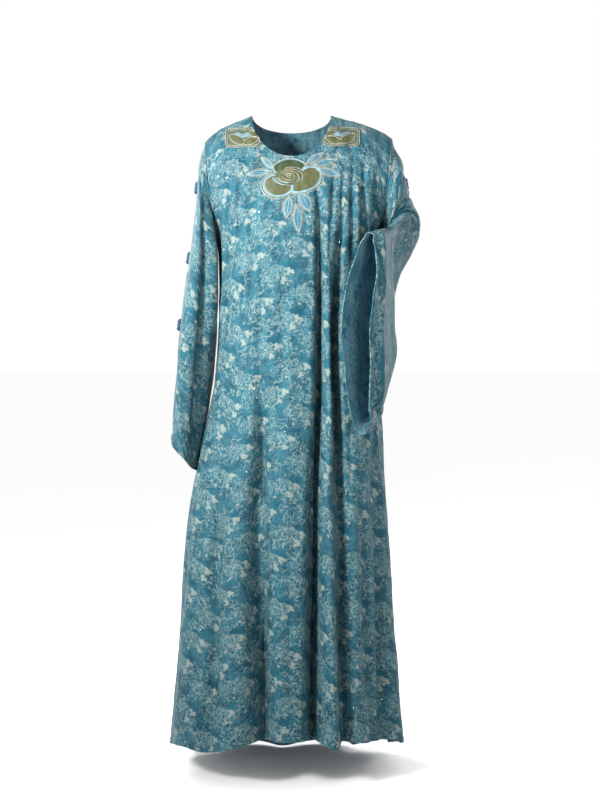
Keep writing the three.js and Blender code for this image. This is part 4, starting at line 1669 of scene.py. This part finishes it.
def stitches(line: Array, ways: Array, length: float, pitch: float, radius: float) -> Form:
    """A row of short thread stitches along a line, as three-cornered faces.

    Args:
        line: The points that the row follows.
        ways: The way out of the cloth at each of them.
        length: How long a stitch is.
        pitch: From one stitch to the next.
        radius: Half a thread's thickness.

    Returns:
        The stitches.
    """
    walked = loop_length(line)
    marks = np.arange(pitch / 2, walked[-1], pitch)
    spots = read_at(marks, walked, line)
    ahead = unit(read_at(marks + pitch / 4, walked, line) - spots + 1e-9)
    out = unit(read_at(marks, walked, ways))
    aside = unit(np.cross(ahead, out))
    middle = spots + out * radius * 0.5
    ring = (middle + way * radius for way in (out, aside, -out, -aside))
    points = np.stack([middle - ahead * length / 2, *ring, middle + ahead * length / 2], 1)
    fan = [(0, 1 + k, 1 + (k + 1) % 4) for k in range(4)] + [(5, 1 + (k + 1) % 4, 1 + k) for k in range(4)]
    starts = np.arange(len(spots))[:, None, None] * 6
    faces = (np.array(fan)[None] + starts).reshape(-1, 3)
    cut = np.zeros((len(faces) * 3, 2))
    return Form(points.reshape(-1, 3), faces, cut, np.zeros(len(faces)))


def stones(spots: Array, ways: Array, sizes: Array) -> Form:
    """Faceted round stones that sit on the cloth, as three-cornered faces.

    Args:
        spots: Where they sit.
        ways: The way out of the cloth at each.
        sizes: Their half widths.

    Returns:
        The stones.
    """
    helper = np.array([0.31, 0.22, 0.92])
    aside = unit(np.cross(ways, helper))
    ahead = np.cross(ways, aside)
    turn = np.arange(8) * math.pi / 4
    round_ = np.cos(turn)[None, :, None] * aside[:, None] + np.sin(turn)[None, :, None] * ahead[:, None]
    rings = [
        spots[:, None] + round_ * (sizes * share)[:, None, None] + (ways * (sizes * rise)[:, None])[:, None]
        for share, rise in ((1.0, -0.1), (1.0, 0.18), (0.55, 0.52))
    ]
    tops = spots + ways * (sizes * 0.56)[:, None]
    feet = spots - ways * (sizes * 0.12)[:, None]
    points = np.concatenate([*rings, tops[:, None], feet[:, None]], 1)
    faces = []
    for k in range(8):
        nxt = (k + 1) % 8
        for level in (0, 8):
            faces += [(level + k, level + nxt, level + 8 + nxt), (level + k, level + 8 + nxt, level + 8 + k)]
        faces += [(16 + k, 16 + nxt, 24), (k, 25, nxt)]
    starts = np.arange(len(spots))[:, None, None] * points.shape[1]
    all_faces = (np.array(faces)[None] + starts).reshape(-1, 3)
    return Form(points.reshape(-1, 3), all_faces, np.zeros((len(all_faces) * 3, 2)), np.zeros(len(all_faces)))


def inset_line(cloth: Cloth, distance: float, from_last: bool) -> tuple[Array, Array]:
    """A line on a cloth's right side at a distance from its first or last row, with the way out.

    Args:
        cloth: The cloth.
        distance: How far from the row.
        from_last: True to measure from the last row.

    Returns:
        The points and the ways out.
    """
    points, ways = cloth.outer(), cloth.outward
    if from_last:
        points, ways = points[::-1], ways[::-1]
    line, out = [], []
    for column in range(points.shape[1]):
        walked = loop_length(points[:, column])
        line.append(read_at(distance, walked, points[:, column]))
        out.append(read_at(distance, walked, ways[:, column]))
    return np.array(line), unit(np.array(out))


def scatter(cloth: Cloth, count: int, seed: int, rows: tuple[float, float], size: float) -> Form:
    """Stones strewn over a cloth's right side, between two shares of its rows.

    Args:
        cloth: The cloth.
        count: How many.
        seed: The seed of their places and sizes.
        rows: The two shares.
        size: A usual stone's half width.

    Returns:
        The stones.
    """
    rng = np.random.default_rng(seed)
    high, wide = cloth.points.shape[:2]
    r = rng.integers(int(rows[0] * high), int(rows[1] * high), count)
    c = rng.integers(3, wide - 3, count)
    return stones(cloth.outer()[r, c], cloth.outward[r, c], size * rng.uniform(0.75, 1.2, count))


# A stitch: its length, its pitch and half its thread's thickness.
STITCH = (2.6, 3.6, 0.35)
STONE_SIZE = 1.25
STONE_SHARP = 5


def hang(
    node: str,
    name: str,
    cloth: Cloth,
    seams: Sequence[tuple[Array, Array]],
    strewn: tuple[int, int, tuple[float, float]],
    finishes: Wardrobe,
) -> None:
    """Makes a hanging sheet of the kaftan's cloth with its topstitching and its stones.

    Args:
        node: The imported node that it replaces.
        name: The piece's name.
        cloth: The sheet.
        seams: The lines that the topstitching follows, each with the way out.
        strewn: How many stones lie on it, their seed, and the shares of its rows that they lie between.
        finishes: The kaftan's finishes.
    """
    piece = cloth.form().sew(name, (finishes.cloth, finishes.reverse))
    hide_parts(node)
    rows = Form.joined([stitches(line, ways, *STITCH) for line, ways in seams])
    thread = rows.sew(f"{node}_topstitch", (finishes.cords["tone"],))
    gems = scatter(cloth, *strewn, STONE_SIZE).sew(f"{node}_stones", (finishes.stone,), STONE_SHARP)
    flat = (cloth.width(), cloth.length())
    cloth.area()
    LOG.info("%s: %.2f x %.2f m flat, %.3f m2", name, *flat, cloth.area())


def sew_cords(stem: str, cords: dict[str, list[Form]], finishes: Wardrobe) -> None:
    """Makes one object of the cords of each colour.

    Args:
        stem: What their names start with.
        cords: The cords by colour.
        finishes: The kaftan's finishes.
    """
    for colour, forms in cords.items():
        piece = Form.joined(forms).sew(f"{stem}_cords_{colour}", (finishes.cords[colour],))


MAIN_VALLEY = (
    (50, -170),
    (52, -335),
    (52, -490),
    (51, -645),
    (49, -778),
    (47, -912),
    (45, -1046),
    (43, -1152),
)
LEFT_VALLEY = ((-75, -640), (-73, -822), (-66, -912), (-66, -1023), (-67, -1129), (-72, -1263), (-75, -1408))
SLEEVE_VALLEY = ((98, -270), (95, -390), (91, -500), (91, -600), (95, -700), (100, -820))
BELOW_SLEEVE_VALLEY = ((102, -1001), (100, -1129), (101, -1241), (105, -1408), (106, -1700))
LEFT_EDGE_VALLEY = ((182, -860), (188, -1023), (189, -1174), (193, -1308), (200, -1397), (206, -1700))
FRONT_CREASES = (
    Crease((*MAIN_VALLEY, (40, -1263), (38, -1408), (36, -1760)), -26.0, 7.5, 4.0),
    Crease((*LEFT_VALLEY, (-77, -1700)), -13.0, 6.5, 3.0),
    Crease((*SLEEVE_VALLEY, *BELOW_SLEEVE_VALLEY), -12.0, 6.5, 3.0),
    Crease((*SLEEVE_VALLEY, (100, -900)), -20.0, 8.5, 3.0),
    Crease(((80, -290), (77, -400), (75, -520), (76, -660), (82, -800), (88, -930)), -13.0, 15.0, 2.5),
    Crease(LEFT_EDGE_VALLEY, -9.0, 7.0, 3.0),
    Crease(((-174, -150), (-180, -240), (-176, -420)), -8.0, 8),
    Crease(((-146, -130), (-152, -200), (-158, -300), (-160, -420)), -6.5, 6.5),
    Crease(((-128, -150), (-128, -240), (-130, -330)), -5.0, 5.5),
    Crease(((-98, -220), (-98, -330), (-104, -470)), -4.0, 8),
    Crease(((-78, -250), (-79, -420), (-83, -560), (-86, -760)), -8.0, 10),
    Crease(((-30, -390), (-28, -540), (-34, -700)), -4.0, 11),
    Crease(((-168, -620), (-160, -780), (-178, -900), (-178, -1200), (-192, -1440)), -6.0, 10),
    Crease(((4, -880), (-14, -1000), (-12, -1200), (-6, -1430)), -6.0, 11),
    Crease(((-98, -1000), (-98, -1120), (-100, -1210)), -4.0, 8),
    Crease(((86, -140), (80, -210), (76, -340)), -7.0, 5.5, 2.5),
    Crease(((106, -130), (104, -200), (101, -330)), -6.0, 5.0, 2.5),
    Crease(((128, -115), (126, -200), (124, -330)), -7.5, 5.5, 2.5),
    Crease(((154, -105), (152, -190), (150, -320)), -8.5, 6.0, 2.5),
    Crease(((182, -120), (180, -200), (172, -290)), -7.0, 6.5),
    Crease(((66, -190), (64, -300), (66, -420)), 5.0, 6.0),
    Crease(((140, -150), (138, -230), (136, -330)), 4.0, 6.0),
    Crease(((118, -680), (124, -820), (116, -900)), -5.0, 9),
    Crease(((150, -900), (152, -1050), (152, -1250), (150, -1440)), -6.0, 9),
    Crease(((-60, -700), (-52, -900), (-50, -1100)), 4.0, 12),
    Crease(((40, -330), (44, -520), (50, -700)), 3.0, 8),
)
BACK_CREASES = (
    Crease(((-170, -160), (-168, -260), (-150, -420)), -5.0, 9),
    Crease(((-130, -220), (-128, -340), (-110, -520)), -4.5, 9),
    Crease(((168, -160), (164, -270), (146, -420)), -5.0, 9),
    Crease(((120, -230), (118, -360), (104, -540)), -4.5, 9),
    Crease(((-20, -150), (-24, -300), (-30, -520)), -4.0, 12),
    Crease(((56, -420), (60, -700), (70, -1000)), -5.0, 12),
    Crease(((-80, -480), (-90, -760), (-110, -1080)), -5.0, 12),
    Crease(((20, -640), (24, -900), (30, -1300)), 4.0, 12),
)


@dataclass
class Body:
    """The front and the back panels with their hems, neck edge, topstitching and stones."""

    finishes: Wardrobe
    front: Panel = Panel(Side.FRONT, SECTION_FRONT, 101.0, 186, 166, 84, FRONT_CREASES, 11)
    back: Panel = Panel(Side.BACK, SECTION_BACK, 32.0, 132, 150, 60, BACK_CREASES, 23)
    neck_stitch: float = 5.0

    def build(self) -> dict[str, Cloth]:
        """Makes both panels and what is sewn along their edges.

        Returns:
            The two cloths by name.
        """
        made = {}
        for name, panel, count, seed in (("front", self.front, 46, 5), ("back", self.back, 30, 8)):
            made[name] = cloth = panel.cloth()
            strewn = (count, seed, (0.03, 0.8))
            hang(name, f"{name}_panel", cloth, self._seams(cloth), strewn, self.finishes)
        return made

    def _seams(self, cloth: Cloth) -> list[tuple[Array, Array]]:
        """The lines of the topstitching on a panel.

        Args:
            cloth: The panel's cloth.

        Returns:
            The line above the hem and the one round the neck, each with the way out.
        """
        line, ways = inset_line(cloth, self.neck_stitch, True)
        in_neck = np.abs(line[:, 0] - NECK_X) < NECK_HALF - self.neck_stitch
        return [inset_line(cloth, HEM_BAND, False), (line[in_neck], ways[in_neck])]


@dataclass
class Sleeves:
    """The hanging right sleeve and the bent left one."""

    finishes: Wardrobe
    panels: tuple[Panel, Panel]
    cuff_stitch: float = 14.0
    right_crumples: tuple[Crumple, ...] = (
        Crumple(0.02, 0.16, 0.25, 0.11, -2.6, 0.014),
        Crumple(0.9, 0.22, -0.3, 0.1, -2.4, 0.014),
        Crumple(0.24, 0.3, 0.3, 0.1, -2.6, 0.016),
        Crumple(0.76, 0.36, -0.25, 0.12, -2.6, 0.018),
    )
    left_crumples: tuple[Crumple, ...] = (
        Crumple(0.02, 0.69, 0.0, 0.16, -28.0, 0.055),
        Crumple(0.0, 0.82, 0.0, 0.14, -7.0, 0.05),
        Crumple(0.25, 0.36, 0.2, 0.12, -6.0, 0.018),
        Crumple(0.3, 0.43, -0.1, 0.12, -5.0, 0.016),
        Crumple(0.2, 0.5, -0.25, 0.1, -5.0, 0.018),
        Crumple(0.05, 0.3, 0.35, 0.12, -3.5, 0.018),
        Crumple(0.98, 0.44, -0.3, 0.1, -4.0, 0.02),
        Crumple(0.12, 0.2, 0.3, 0.14, -3.2, 0.018),
        Crumple(0.06, 0.58, 0.5, 0.1, -4.0, 0.022),
        Crumple(0.92, 1.0, 0.0, 0.04, -8.0, 0.08),
        Crumple(0.85, 1.0, 0.0, 0.03, 6.0, 0.07),
        Crumple(0.1, 1.0, 0.0, 0.05, 5.0, 0.09),
    )

    def build(self) -> dict[int, Cloth]:
        """Makes both sleeves.

        Returns:
            Each sleeve's cloth by side, -1 being the right one.
        """
        made = {}
        for side, name, rings, folds, crumples, roll, lip in (
            (-1, "sleeve_right", RIGHT_RINGS, RIGHT_FOLDS, self.right_crumples, 1.2, 0.0),
            (1, "sleeve_left", LEFT_RINGS, LEFT_FOLDS, self.left_crumples, 1.6, 13.0),
        ):
            sleeve = Sleeve(side, rings, folds, crumples, self.panels, 41 + side, roll, lip)
            made[side] = cloth = sleeve.cloth()
            line, ways = inset_line(cloth, self.cuff_stitch, True)
            seam = (np.r_[line, line[:1]], np.r_[ways, ways[:1]])
            hang(name, f"{name}_cloth", cloth, [seam], (12, 60 + side, (0.12, 0.95)), self.finishes)
        return made


@dataclass
class RoseApplique:
    """The rose on the chest: a swirled heart, three petals and eight corded leaves."""

    finishes: Wardrobe
    leaves: tuple[Leaf, ...] = (
        Leaf("rose_petal_back", (-38, 26), (34, 32), 36, 0.5, 0.6, Look.BACK, 1.4),
        Leaf("rose_petal_right", (4, -30), (70, 26), 56, 0.6, 0.5, Look.PETAL, 2.2),
        Leaf("rose_petal_left", (6, -24), (-64, -6), 58, 0.55, 0.5, Look.PETAL, 2.2),
        Leaf("rose_heart", (-26, 10), (24, 12), 40, 0.5, 0.5, Look.HEART, 3.4),
        Leaf("leaf_lower_right", (22, -28), (46, -72), 27, 0.5, 0.9, Look.LEAF, 1.2),
        Leaf("leaf_lower_left", (-1, -36), (-8, -88), 24, 0.5, 0.9, Look.LEAF, 1.2),
        Leaf("leaf_lower_middle", (14, -58), (20, -120), 23, 0.5, 0.9, Look.LEAF, 1.2),
        Leaf("leaf_left", (-44, 20), (-100, 12), 17, 0.45, 1, Look.LEAF, 1.0),
        Leaf("leaf_upper_left", (-36, 26), (-66, 54), 15, 0.45, 0.9, Look.LEAF, 1.0),
        Leaf("leaf_right", (56, 26), (117, 8), 18, 0.45, 1, Look.LEAF, 1.0),
        Leaf("leaf_middle_right", (48, 32), (108, 48), 17, 0.45, 1, Look.LEAF, 1.0),
        Leaf("leaf_upper_right", (36, 36), (78, 64), 16, 0.45, 0.9, Look.LEAF, 1.0),
    )
    # Bows of cord round the heart: shift across, size, first and last angle, how far each opens.
    bows: tuple[tuple[float, float, float, float, float], ...] = (
        (0, 8.0, 165, -40, 0.3),
        (-2, 9.5, 185, 305, 0.3),
        (1, 13.5, 165, -25, 0.25),
        (-4, 15.0, 190, 300, 0.25),
        (3, 19.5, 140, -38, 0.2),
        (-5, 20.5, 182, 282, 0.3),
        (2, 25.0, 112, 40, 0.15),
    )
    # Pale blue bows under them: size, first and last angle.
    under_bows: tuple[tuple[float, float, float], ...] = (
        (18.0, 190, 282),
        (24.5, 186, 262),
        (22.0, 318, 352),
    )
    # Bands of cord, from the outline in: colour, half width, flatness, distance from the outline.
    bands: tuple[tuple[Look, tuple[tuple[str, float, float, float], ...]], ...] = (
        (
            Look.PETAL,
            (
                ("ivory", 0.75, 0.85, -0.3),
                ("gold", 0.6, 0.85, 1.3),
                ("blue", 1.15, 0.6, 3.1),
                ("ivory", 0.55, 0.85, 4.9),
                ("blue", 0.8, 0.6, 6.3),
                ("gold", 0.45, 0.85, 7.5),
            ),
        ),
        (Look.BACK, (("ivory", 0.65, 0.85, -1.8), ("blue", 0.8, 0.85, 0.2), ("gold", 0.45, 0.85, 1.8))),
        (
            Look.LEAF,
            (
                ("ivory", 0.6, 0.85, -0.3),
                ("gold", 0.6, 0.85, 0.9),
                ("ivory", 0.5, 0.85, 2.1),
                ("blue", 0.7, 0.6, 4.2),
            ),
        ),
    )
    crowding: float = 0.42
    heart_clear: tuple[float, float] = (28.0, 21.5)

    def build(self, front: Cloth) -> Skin:
        """Makes the fills, then lays the cords over them.

        Args:
            front: The front panel's cloth.

        Returns:
            What then lies uppermost on the front.
        """
        faces, _ = quads_of(*front.points.shape[:2], False)
        layers = [(front.outer().reshape(-1, 3), faces)]
        for leaf in self.leaves:
            fill = leaf.fill(Skin(layers))
            form = fill.form()
            piece = form.sew(f"{leaf.name}_fill", (self._fill_of(leaf.look),) * 2)
            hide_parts(leaf.name)
            layers.append((form.points, form.faces))
        skin = Skin(layers)
        self._cords(skin)
        LOG.info("rose applique: %d fills", len(self.leaves))
        return skin

    def _fill_of(self, look: Look) -> bpy.types.Material:
        """The finish of a fill.

        Args:
            look: How the piece looks.

        Returns:
            The material.
        """
        if look is Look.BACK:
            return self.finishes.dark_olive
        return self.finishes.sky if look is Look.LEAF else self.finishes.olive

    def _cords(self, skin: Skin) -> None:
        """Lays the cords round and inside each petal and leaf, joined by colour.

        Args:
            skin: What lies uppermost on the front.
        """
        cords: dict[str, list[Form]] = {"ivory": [], "gold": [], "blue": []}
        bands = dict(self.bands)
        for leaf in self.leaves:
            if leaf.look is Look.HEART:
                self._swirl(skin, cords)
                continue
            for colour, radius, flat, inset in bands[leaf.look]:
                line = self._band(leaf, inset)
                whole = leaf.look is Look.LEAF
                cords[colour].append(CordLine(radius, flat=flat).lay(skin, line, whole))
            if leaf.look is Look.LEAF:
                start, end, _ = leaf.line(-leaf.width * 0.25)
                midrib = start + (end - start) * np.linspace(0, 1, 14)[:, None]
                cords["ivory"].append(CordLine(0.45).lay(skin, midrib, False))
        sew_cords("rose", cords, self.finishes)

    def _band(self, leaf: Leaf, inset: float) -> Array:
        """The line of one band of cord. A petal's bands crowd on the heart's side.

        Args:
            leaf: The petal or leaf that it runs round.
            inset: How far it lies inside the outline.

        Returns:
            Its (x, z) points: a leaf's whole outline, or the part of a petal's that is clear of the heart.
        """
        if leaf.look is Look.LEAF:
            return leaf.outline(-min(inset, leaf.width * 0.22), 26)
        line = leaf.outline(-inset, 40)
        if leaf.look is Look.PETAL:
            inward = np.array(leaf.start, float) - np.array(leaf.end, float)
            inward = inward / np.linalg.norm(inward) + (0, 0.7)
            line = line + inward * max(inset, 0) * self.crowding
        away = np.linalg.norm((line - self._heart()) / self.heart_clear, axis=1)
        first = int(np.argmin(away))
        turned, far = np.roll(line, -first, 0), np.roll(away, -first) > 1
        return turned[far] if far.any() else line

    def _heart(self) -> Array:
        """The middle of the rose's heart, as x and z."""
        heart = next(leaf for leaf in self.leaves if leaf.look is Look.HEART)
        return np.array(ROSE) + (np.array(heart.start) + np.array(heart.end)) / 2

    def _swirl(self, skin: Skin, cords: dict[str, list[Form]]) -> None:
        """Lays the ivory cords that wind out from the middle of the rose, and the blue ones under them.

        Args:
            skin: What lies uppermost on the front.
            cords: The cords by colour, which the new ones join.
        """
        centre = self._heart() + (-2.0, -3.0)
        turn = np.linspace(0.4, 1.5 * 2 * math.pi, 50)
        reach = 1.2 + 5.2 * turn / turn[-1]
        wind = centre + np.stack([np.cos(turn) * reach, np.sin(turn) * reach * 0.85], -1)
        cords["ivory"].append(CordLine(0.6).lay(skin, wind, False))
        for across, size, first, last, opens in self.bows:
            angle = np.radians(np.linspace(first, last, 26))
            grown = size * (1 + opens * np.linspace(0, 1, 26))
            oval = np.stack([np.cos(angle) * grown * 1.25, np.sin(angle) * grown * 0.78], -1)
            cords["ivory"].append(CordLine(0.55).lay(skin, centre + (across, 0) + oval, False))
        for size, first, last in self.under_bows:
            angle = np.radians(np.linspace(first, last, 26))
            oval = np.stack([np.cos(angle) * size * 1.3, np.sin(angle) * size * 0.86], -1)
            cords["blue"].append(CordLine(1.0, flat=0.6).lay(skin, centre + (-4, 0) + oval, False))


@dataclass
class ShoulderPatches:
    """The two corded patches beside the neck and the curls of tone-on-tone cord round them."""

    finishes: Wardrobe
    patches: tuple[Patch, ...] = (
        Patch("shoulder_patch_right", (-160, -80), (-78, -33), -1),
        Patch("shoulder_patch_left", (60, -78), (144, -31), 1),
    )
    # Rows of cord inside a patch's edge: colour, half width, distance from the edge.
    rows: tuple[tuple[str, float, float], ...] = (
        ("ivory", 0.6, 0.7),
        ("ivory", 0.5, 4.4),
        ("gold", 0.4, 2.2),
    )
    # Lobes as shares of the patch's box: start, end, width, look.
    lobes: tuple[tuple[tuple[float, float], tuple[float, float], float, Look], ...] = (
        ((0.13, 0.62), (0.53, 0.2), 19, Look.PETAL),
        ((0.5, 0.2), (0.9, 0.42), 16, Look.PETAL),
        ((0.62, 0.72), (0.92, 0.62), 12, Look.PETAL),
        ((0.24, 0.74), (0.56, 0.5), 13, Look.LEAF),
        ((0.46, 0.6), (0.78, 0.66), 12, Look.LEAF),
    )
    # Curls: x, z, size, first angle in degrees, turns (below 0 for clockwise).
    curls: tuple[tuple[float, float, float, float, float], ...] = (
        (-140, -98, 12, 20, 1.6),
        (-116, -104, 10, 200, -1.5),
        (-94, -98, 9, 90, 1.4),
        (-152, -122, 9, 300, -1.4),
        (-128, -128, 11, 120, 1.6),
        (-104, -126, 8, 10, -1.3),
        (-146, -146, 8, 240, 1.3),
        (-120, -150, 9, 60, -1.5),
        (-164, -104, 7, 80, 1.2),
        (76, -96, 8, 150, -1.4),
        (96, -92, 9, 330, 1.5),
        (118, -96, 10, 60, -1.6),
        (140, -94, 8, 210, 1.4),
        (108, -114, 8, 280, 1.4),
        (132, -116, 9, 20, -1.5),
        (150, -112, 7, 130, 1.2),
    )

    def build(self, skin: Skin) -> None:
        """Makes the patches, their lobes and their cords.

        Args:
            skin: What lies uppermost on the front.
        """
        cords: dict[str, list[Form]] = {"ivory": [], "gold": [], "tone": []}
        for patch in self.patches:
            ground = patch.fill(skin).form()
            piece = ground.sew(f"{patch.name}_ground", (self.finishes.mist,) * 2)
            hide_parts(patch.name)
            under = Skin([(ground.points, ground.faces)])
            self._lobes(patch, under, cords)
            for colour, radius, inset in self.rows:
                cords[colour].append(CordLine(radius).lay(under, patch.outline(inset), True))
        for x, z, size, first, turns in self.curls:
            turn = np.linspace(0, 1, 44)
            angle = math.radians(first) + 2 * math.pi * turns * turn
            reach = size * (0.16 + 0.84 * turn)
            line = np.stack([x + np.cos(angle) * reach, z + np.sin(angle) * reach * 0.8], -1)
            cords["tone"].append(CordLine(0.7).lay(skin, line, False))
        sew_cords("shoulder", cords, self.finishes)
        LOG.info("shoulder patches: %d curls", len(self.curls))

    def _lobes(self, patch: Patch, skin: Skin, cords: dict[str, list[Form]]) -> None:
        """Makes the olive lobes and the pale petals on a patch, each with a cord round it.

        Args:
            patch: The patch.
            skin: Its upper side.
            cords: The cords by colour, which the new ones join.
        """
        fills: dict[Look, list[Form]] = {Look.PETAL: [], Look.LEAF: []}
        for start, end, width, look in self.lobes:
            lobe = patch.lobe(start, end, width, look)
            fills[look].append(lobe.fill(skin).form())
            cord = CordLine(0.6).lay(skin, lobe.outline(0.5, 18), True)
            cords["ivory" if look is Look.PETAL else "gold"].append(cord)
        for look, name, finish in (
            (Look.PETAL, "olive", self.finishes.olive),
            (Look.LEAF, "pale", self.finishes.frost),
        ):
            piece = Form.joined(fills[look]).sew(f"{patch.name}_{name}_lobes", (finish,) * 2)


@dataclass
class SleeveTabs:
    """The small folded tabs down the top seams of the sleeves."""

    finishes: Wardrobe
    length: float = 25.0
    out: float = 10.0
    thick: float = 5.4
    ridges: int = 3
    dip: float = 2.6
    pinch: float = 0.8
    steps: int = 49
    # Name, side and distance from the armhole.
    tabs: tuple[tuple[str, int, float], ...] = (
        ("tab_right_upper", -1, 110),
        ("tab_right_middle", -1, 272),
        ("tab_right_lower", -1, 428),
        ("tab_left_upper", 1, 112),
    )

    def build(self, sleeves: dict[int, Cloth]) -> None:
        """Makes each tab on its sleeve.

        Args:
            sleeves: The sleeves' cloths by side.
        """
        pleat = np.cos(self.ridges * math.pi * np.linspace(0, 1, self.steps)) ** 2
        ends = fine_ends(self.steps, 4)
        high = (self.out - self.dip * pleat) * ends / 2
        wide = (self.thick / 2 - self.pinch * pleat) * ends
        for name, side, distance in self.tabs:
            cloth = sleeves[side]
            line = cloth.outer()[:, 0]
            walked = loop_length(line)
            marks = np.linspace(distance - self.length / 2, distance + self.length / 2, self.steps)
            path = read_at(marks, walked, line)
            middle = int(np.interp(distance, walked, np.arange(len(walked))))
            way = np.broadcast_to(cloth.outward[middle, 0], path.shape)
            form = tube(path + way * high[:, None], way, wide, high, 12, False)
            piece = form.sew(f"{name}_loop", (self.finishes.teal_satin,))
            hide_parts(name)
        LOG.info("sleeve tabs: %d", len(self.tabs))


def point_at(made: bpy.types.Object, place: Sequence[float], aim: Sequence[float]) -> None:
    """Puts a lamp or the camera in its place and turns it to its aim."""
    made.location = place
    made.rotation_euler = (Vector(aim) - Vector(place)).to_track_quat("-Z", "Y").to_euler()


@dataclass(frozen=True)
class Lamp:
    """A soft studio lamp: where it stands, how wide and how strong it is."""

    name: str
    place: tuple[float, float, float]
    width: float
    watts: float
    colour: Colour = (1.0, 1.0, 1.0)
    aim: tuple[float, float, float] = (0.0, 0.0, -0.7)
    spread: float = 180.0


@dataclass
class Studio:
    """The pale floor, the lamps and the camera."""

    aim: tuple[float, float, float] = (0.009, 0.0, -0.651)
    eye: tuple[float, float, float] = (0.009, -3.497, -0.508)
    long_side: float = 36.0
    focal: float = 36.0 * 1515 / 800
    floor_z: float = -1.509
    floor_reach: float = 40.0
    lamps: tuple[Lamp, ...] = (
        Lamp("key", (-1.7, -1.8, 0.4), 0.6, 29, (1.0, 0.99, 0.96), (-0.08, -0.1, -0.26), 60),
        Lamp("wide", (-2.6, -1.4, -0.4), 1.2, 18),
        Lamp("fill", (1.1, -2.6, -0.5), 0.8, 3.8, (1.0, 1.0, 1.0), (0.24, -0.15, -0.45), 50),
        Lamp("back_left", (-2.0, 2.4, 0.6), 1.2, 58),
        Lamp("back_right", (2.4, 2.0, 0.2), 1.2, 34),
    )

    def build(self) -> None:
        """Makes the floor, the light and the camera."""
        self._floor()
        for lamp in self.lamps:
            light = bpy.data.lights.new(lamp.name, "AREA")
            light.shape, light.size = "DISK", lamp.width
            light.energy, light.color, light.spread = lamp.watts, lamp.colour, math.radians(lamp.spread)
            point_at(add_object(lamp.name, light), lamp.place, lamp.aim)
        world = bpy.data.worlds.new("studio")
        world.use_nodes = True
        background = world.node_tree.nodes["Background"]
        background.inputs["Color"].default_value = (1.0, 1.0, 1.0, 1.0)
        background.inputs["Strength"].default_value = 1.0
        bpy.context.scene.world = world
        bpy.context.scene.view_settings.view_transform = "Standard"
        camera = bpy.data.cameras.new("camera")
        camera.sensor_fit, camera.sensor_width, camera.lens = "AUTO", self.long_side, self.focal
        made = add_object("camera", camera)
        point_at(made, self.eye, self.aim)
        bpy.context.scene.camera = made
        LOG.info("studio: %d lamps", len(self.lamps))

    def _floor(self) -> None:
        """A wide floor just under the hem."""
        mesh = bpy.data.meshes.new("floor")
        turns = np.arange(64) * 2 * math.pi / 64
        reach = self.floor_reach
        rim = [(reach * math.cos(turn), reach * math.sin(turn), self.floor_z) for turn in turns]
        mesh.from_pydata(rim, [], [tuple(range(64))])
        mesh.materials.append(Ground("pale_floor", tint(252, 252, 252)).make())
        add_object("floor", mesh)


def main() -> None:
    """Builds the kaftan and the studio."""
    logging.basicConfig(level=logging.INFO, format="%(message)s")
    Studio().build()
    finishes = Wardrobe()
    body = Body(finishes)
    cloths = body.build()
    sleeves = Sleeves(finishes, (body.front, body.back)).build()
    skin = RoseApplique(finishes).build(cloths["front"])
    ShoulderPatches(finishes).build(skin)
    SleeveTabs(finishes).build(sleeves)


if __name__ == "__main__":
    main()
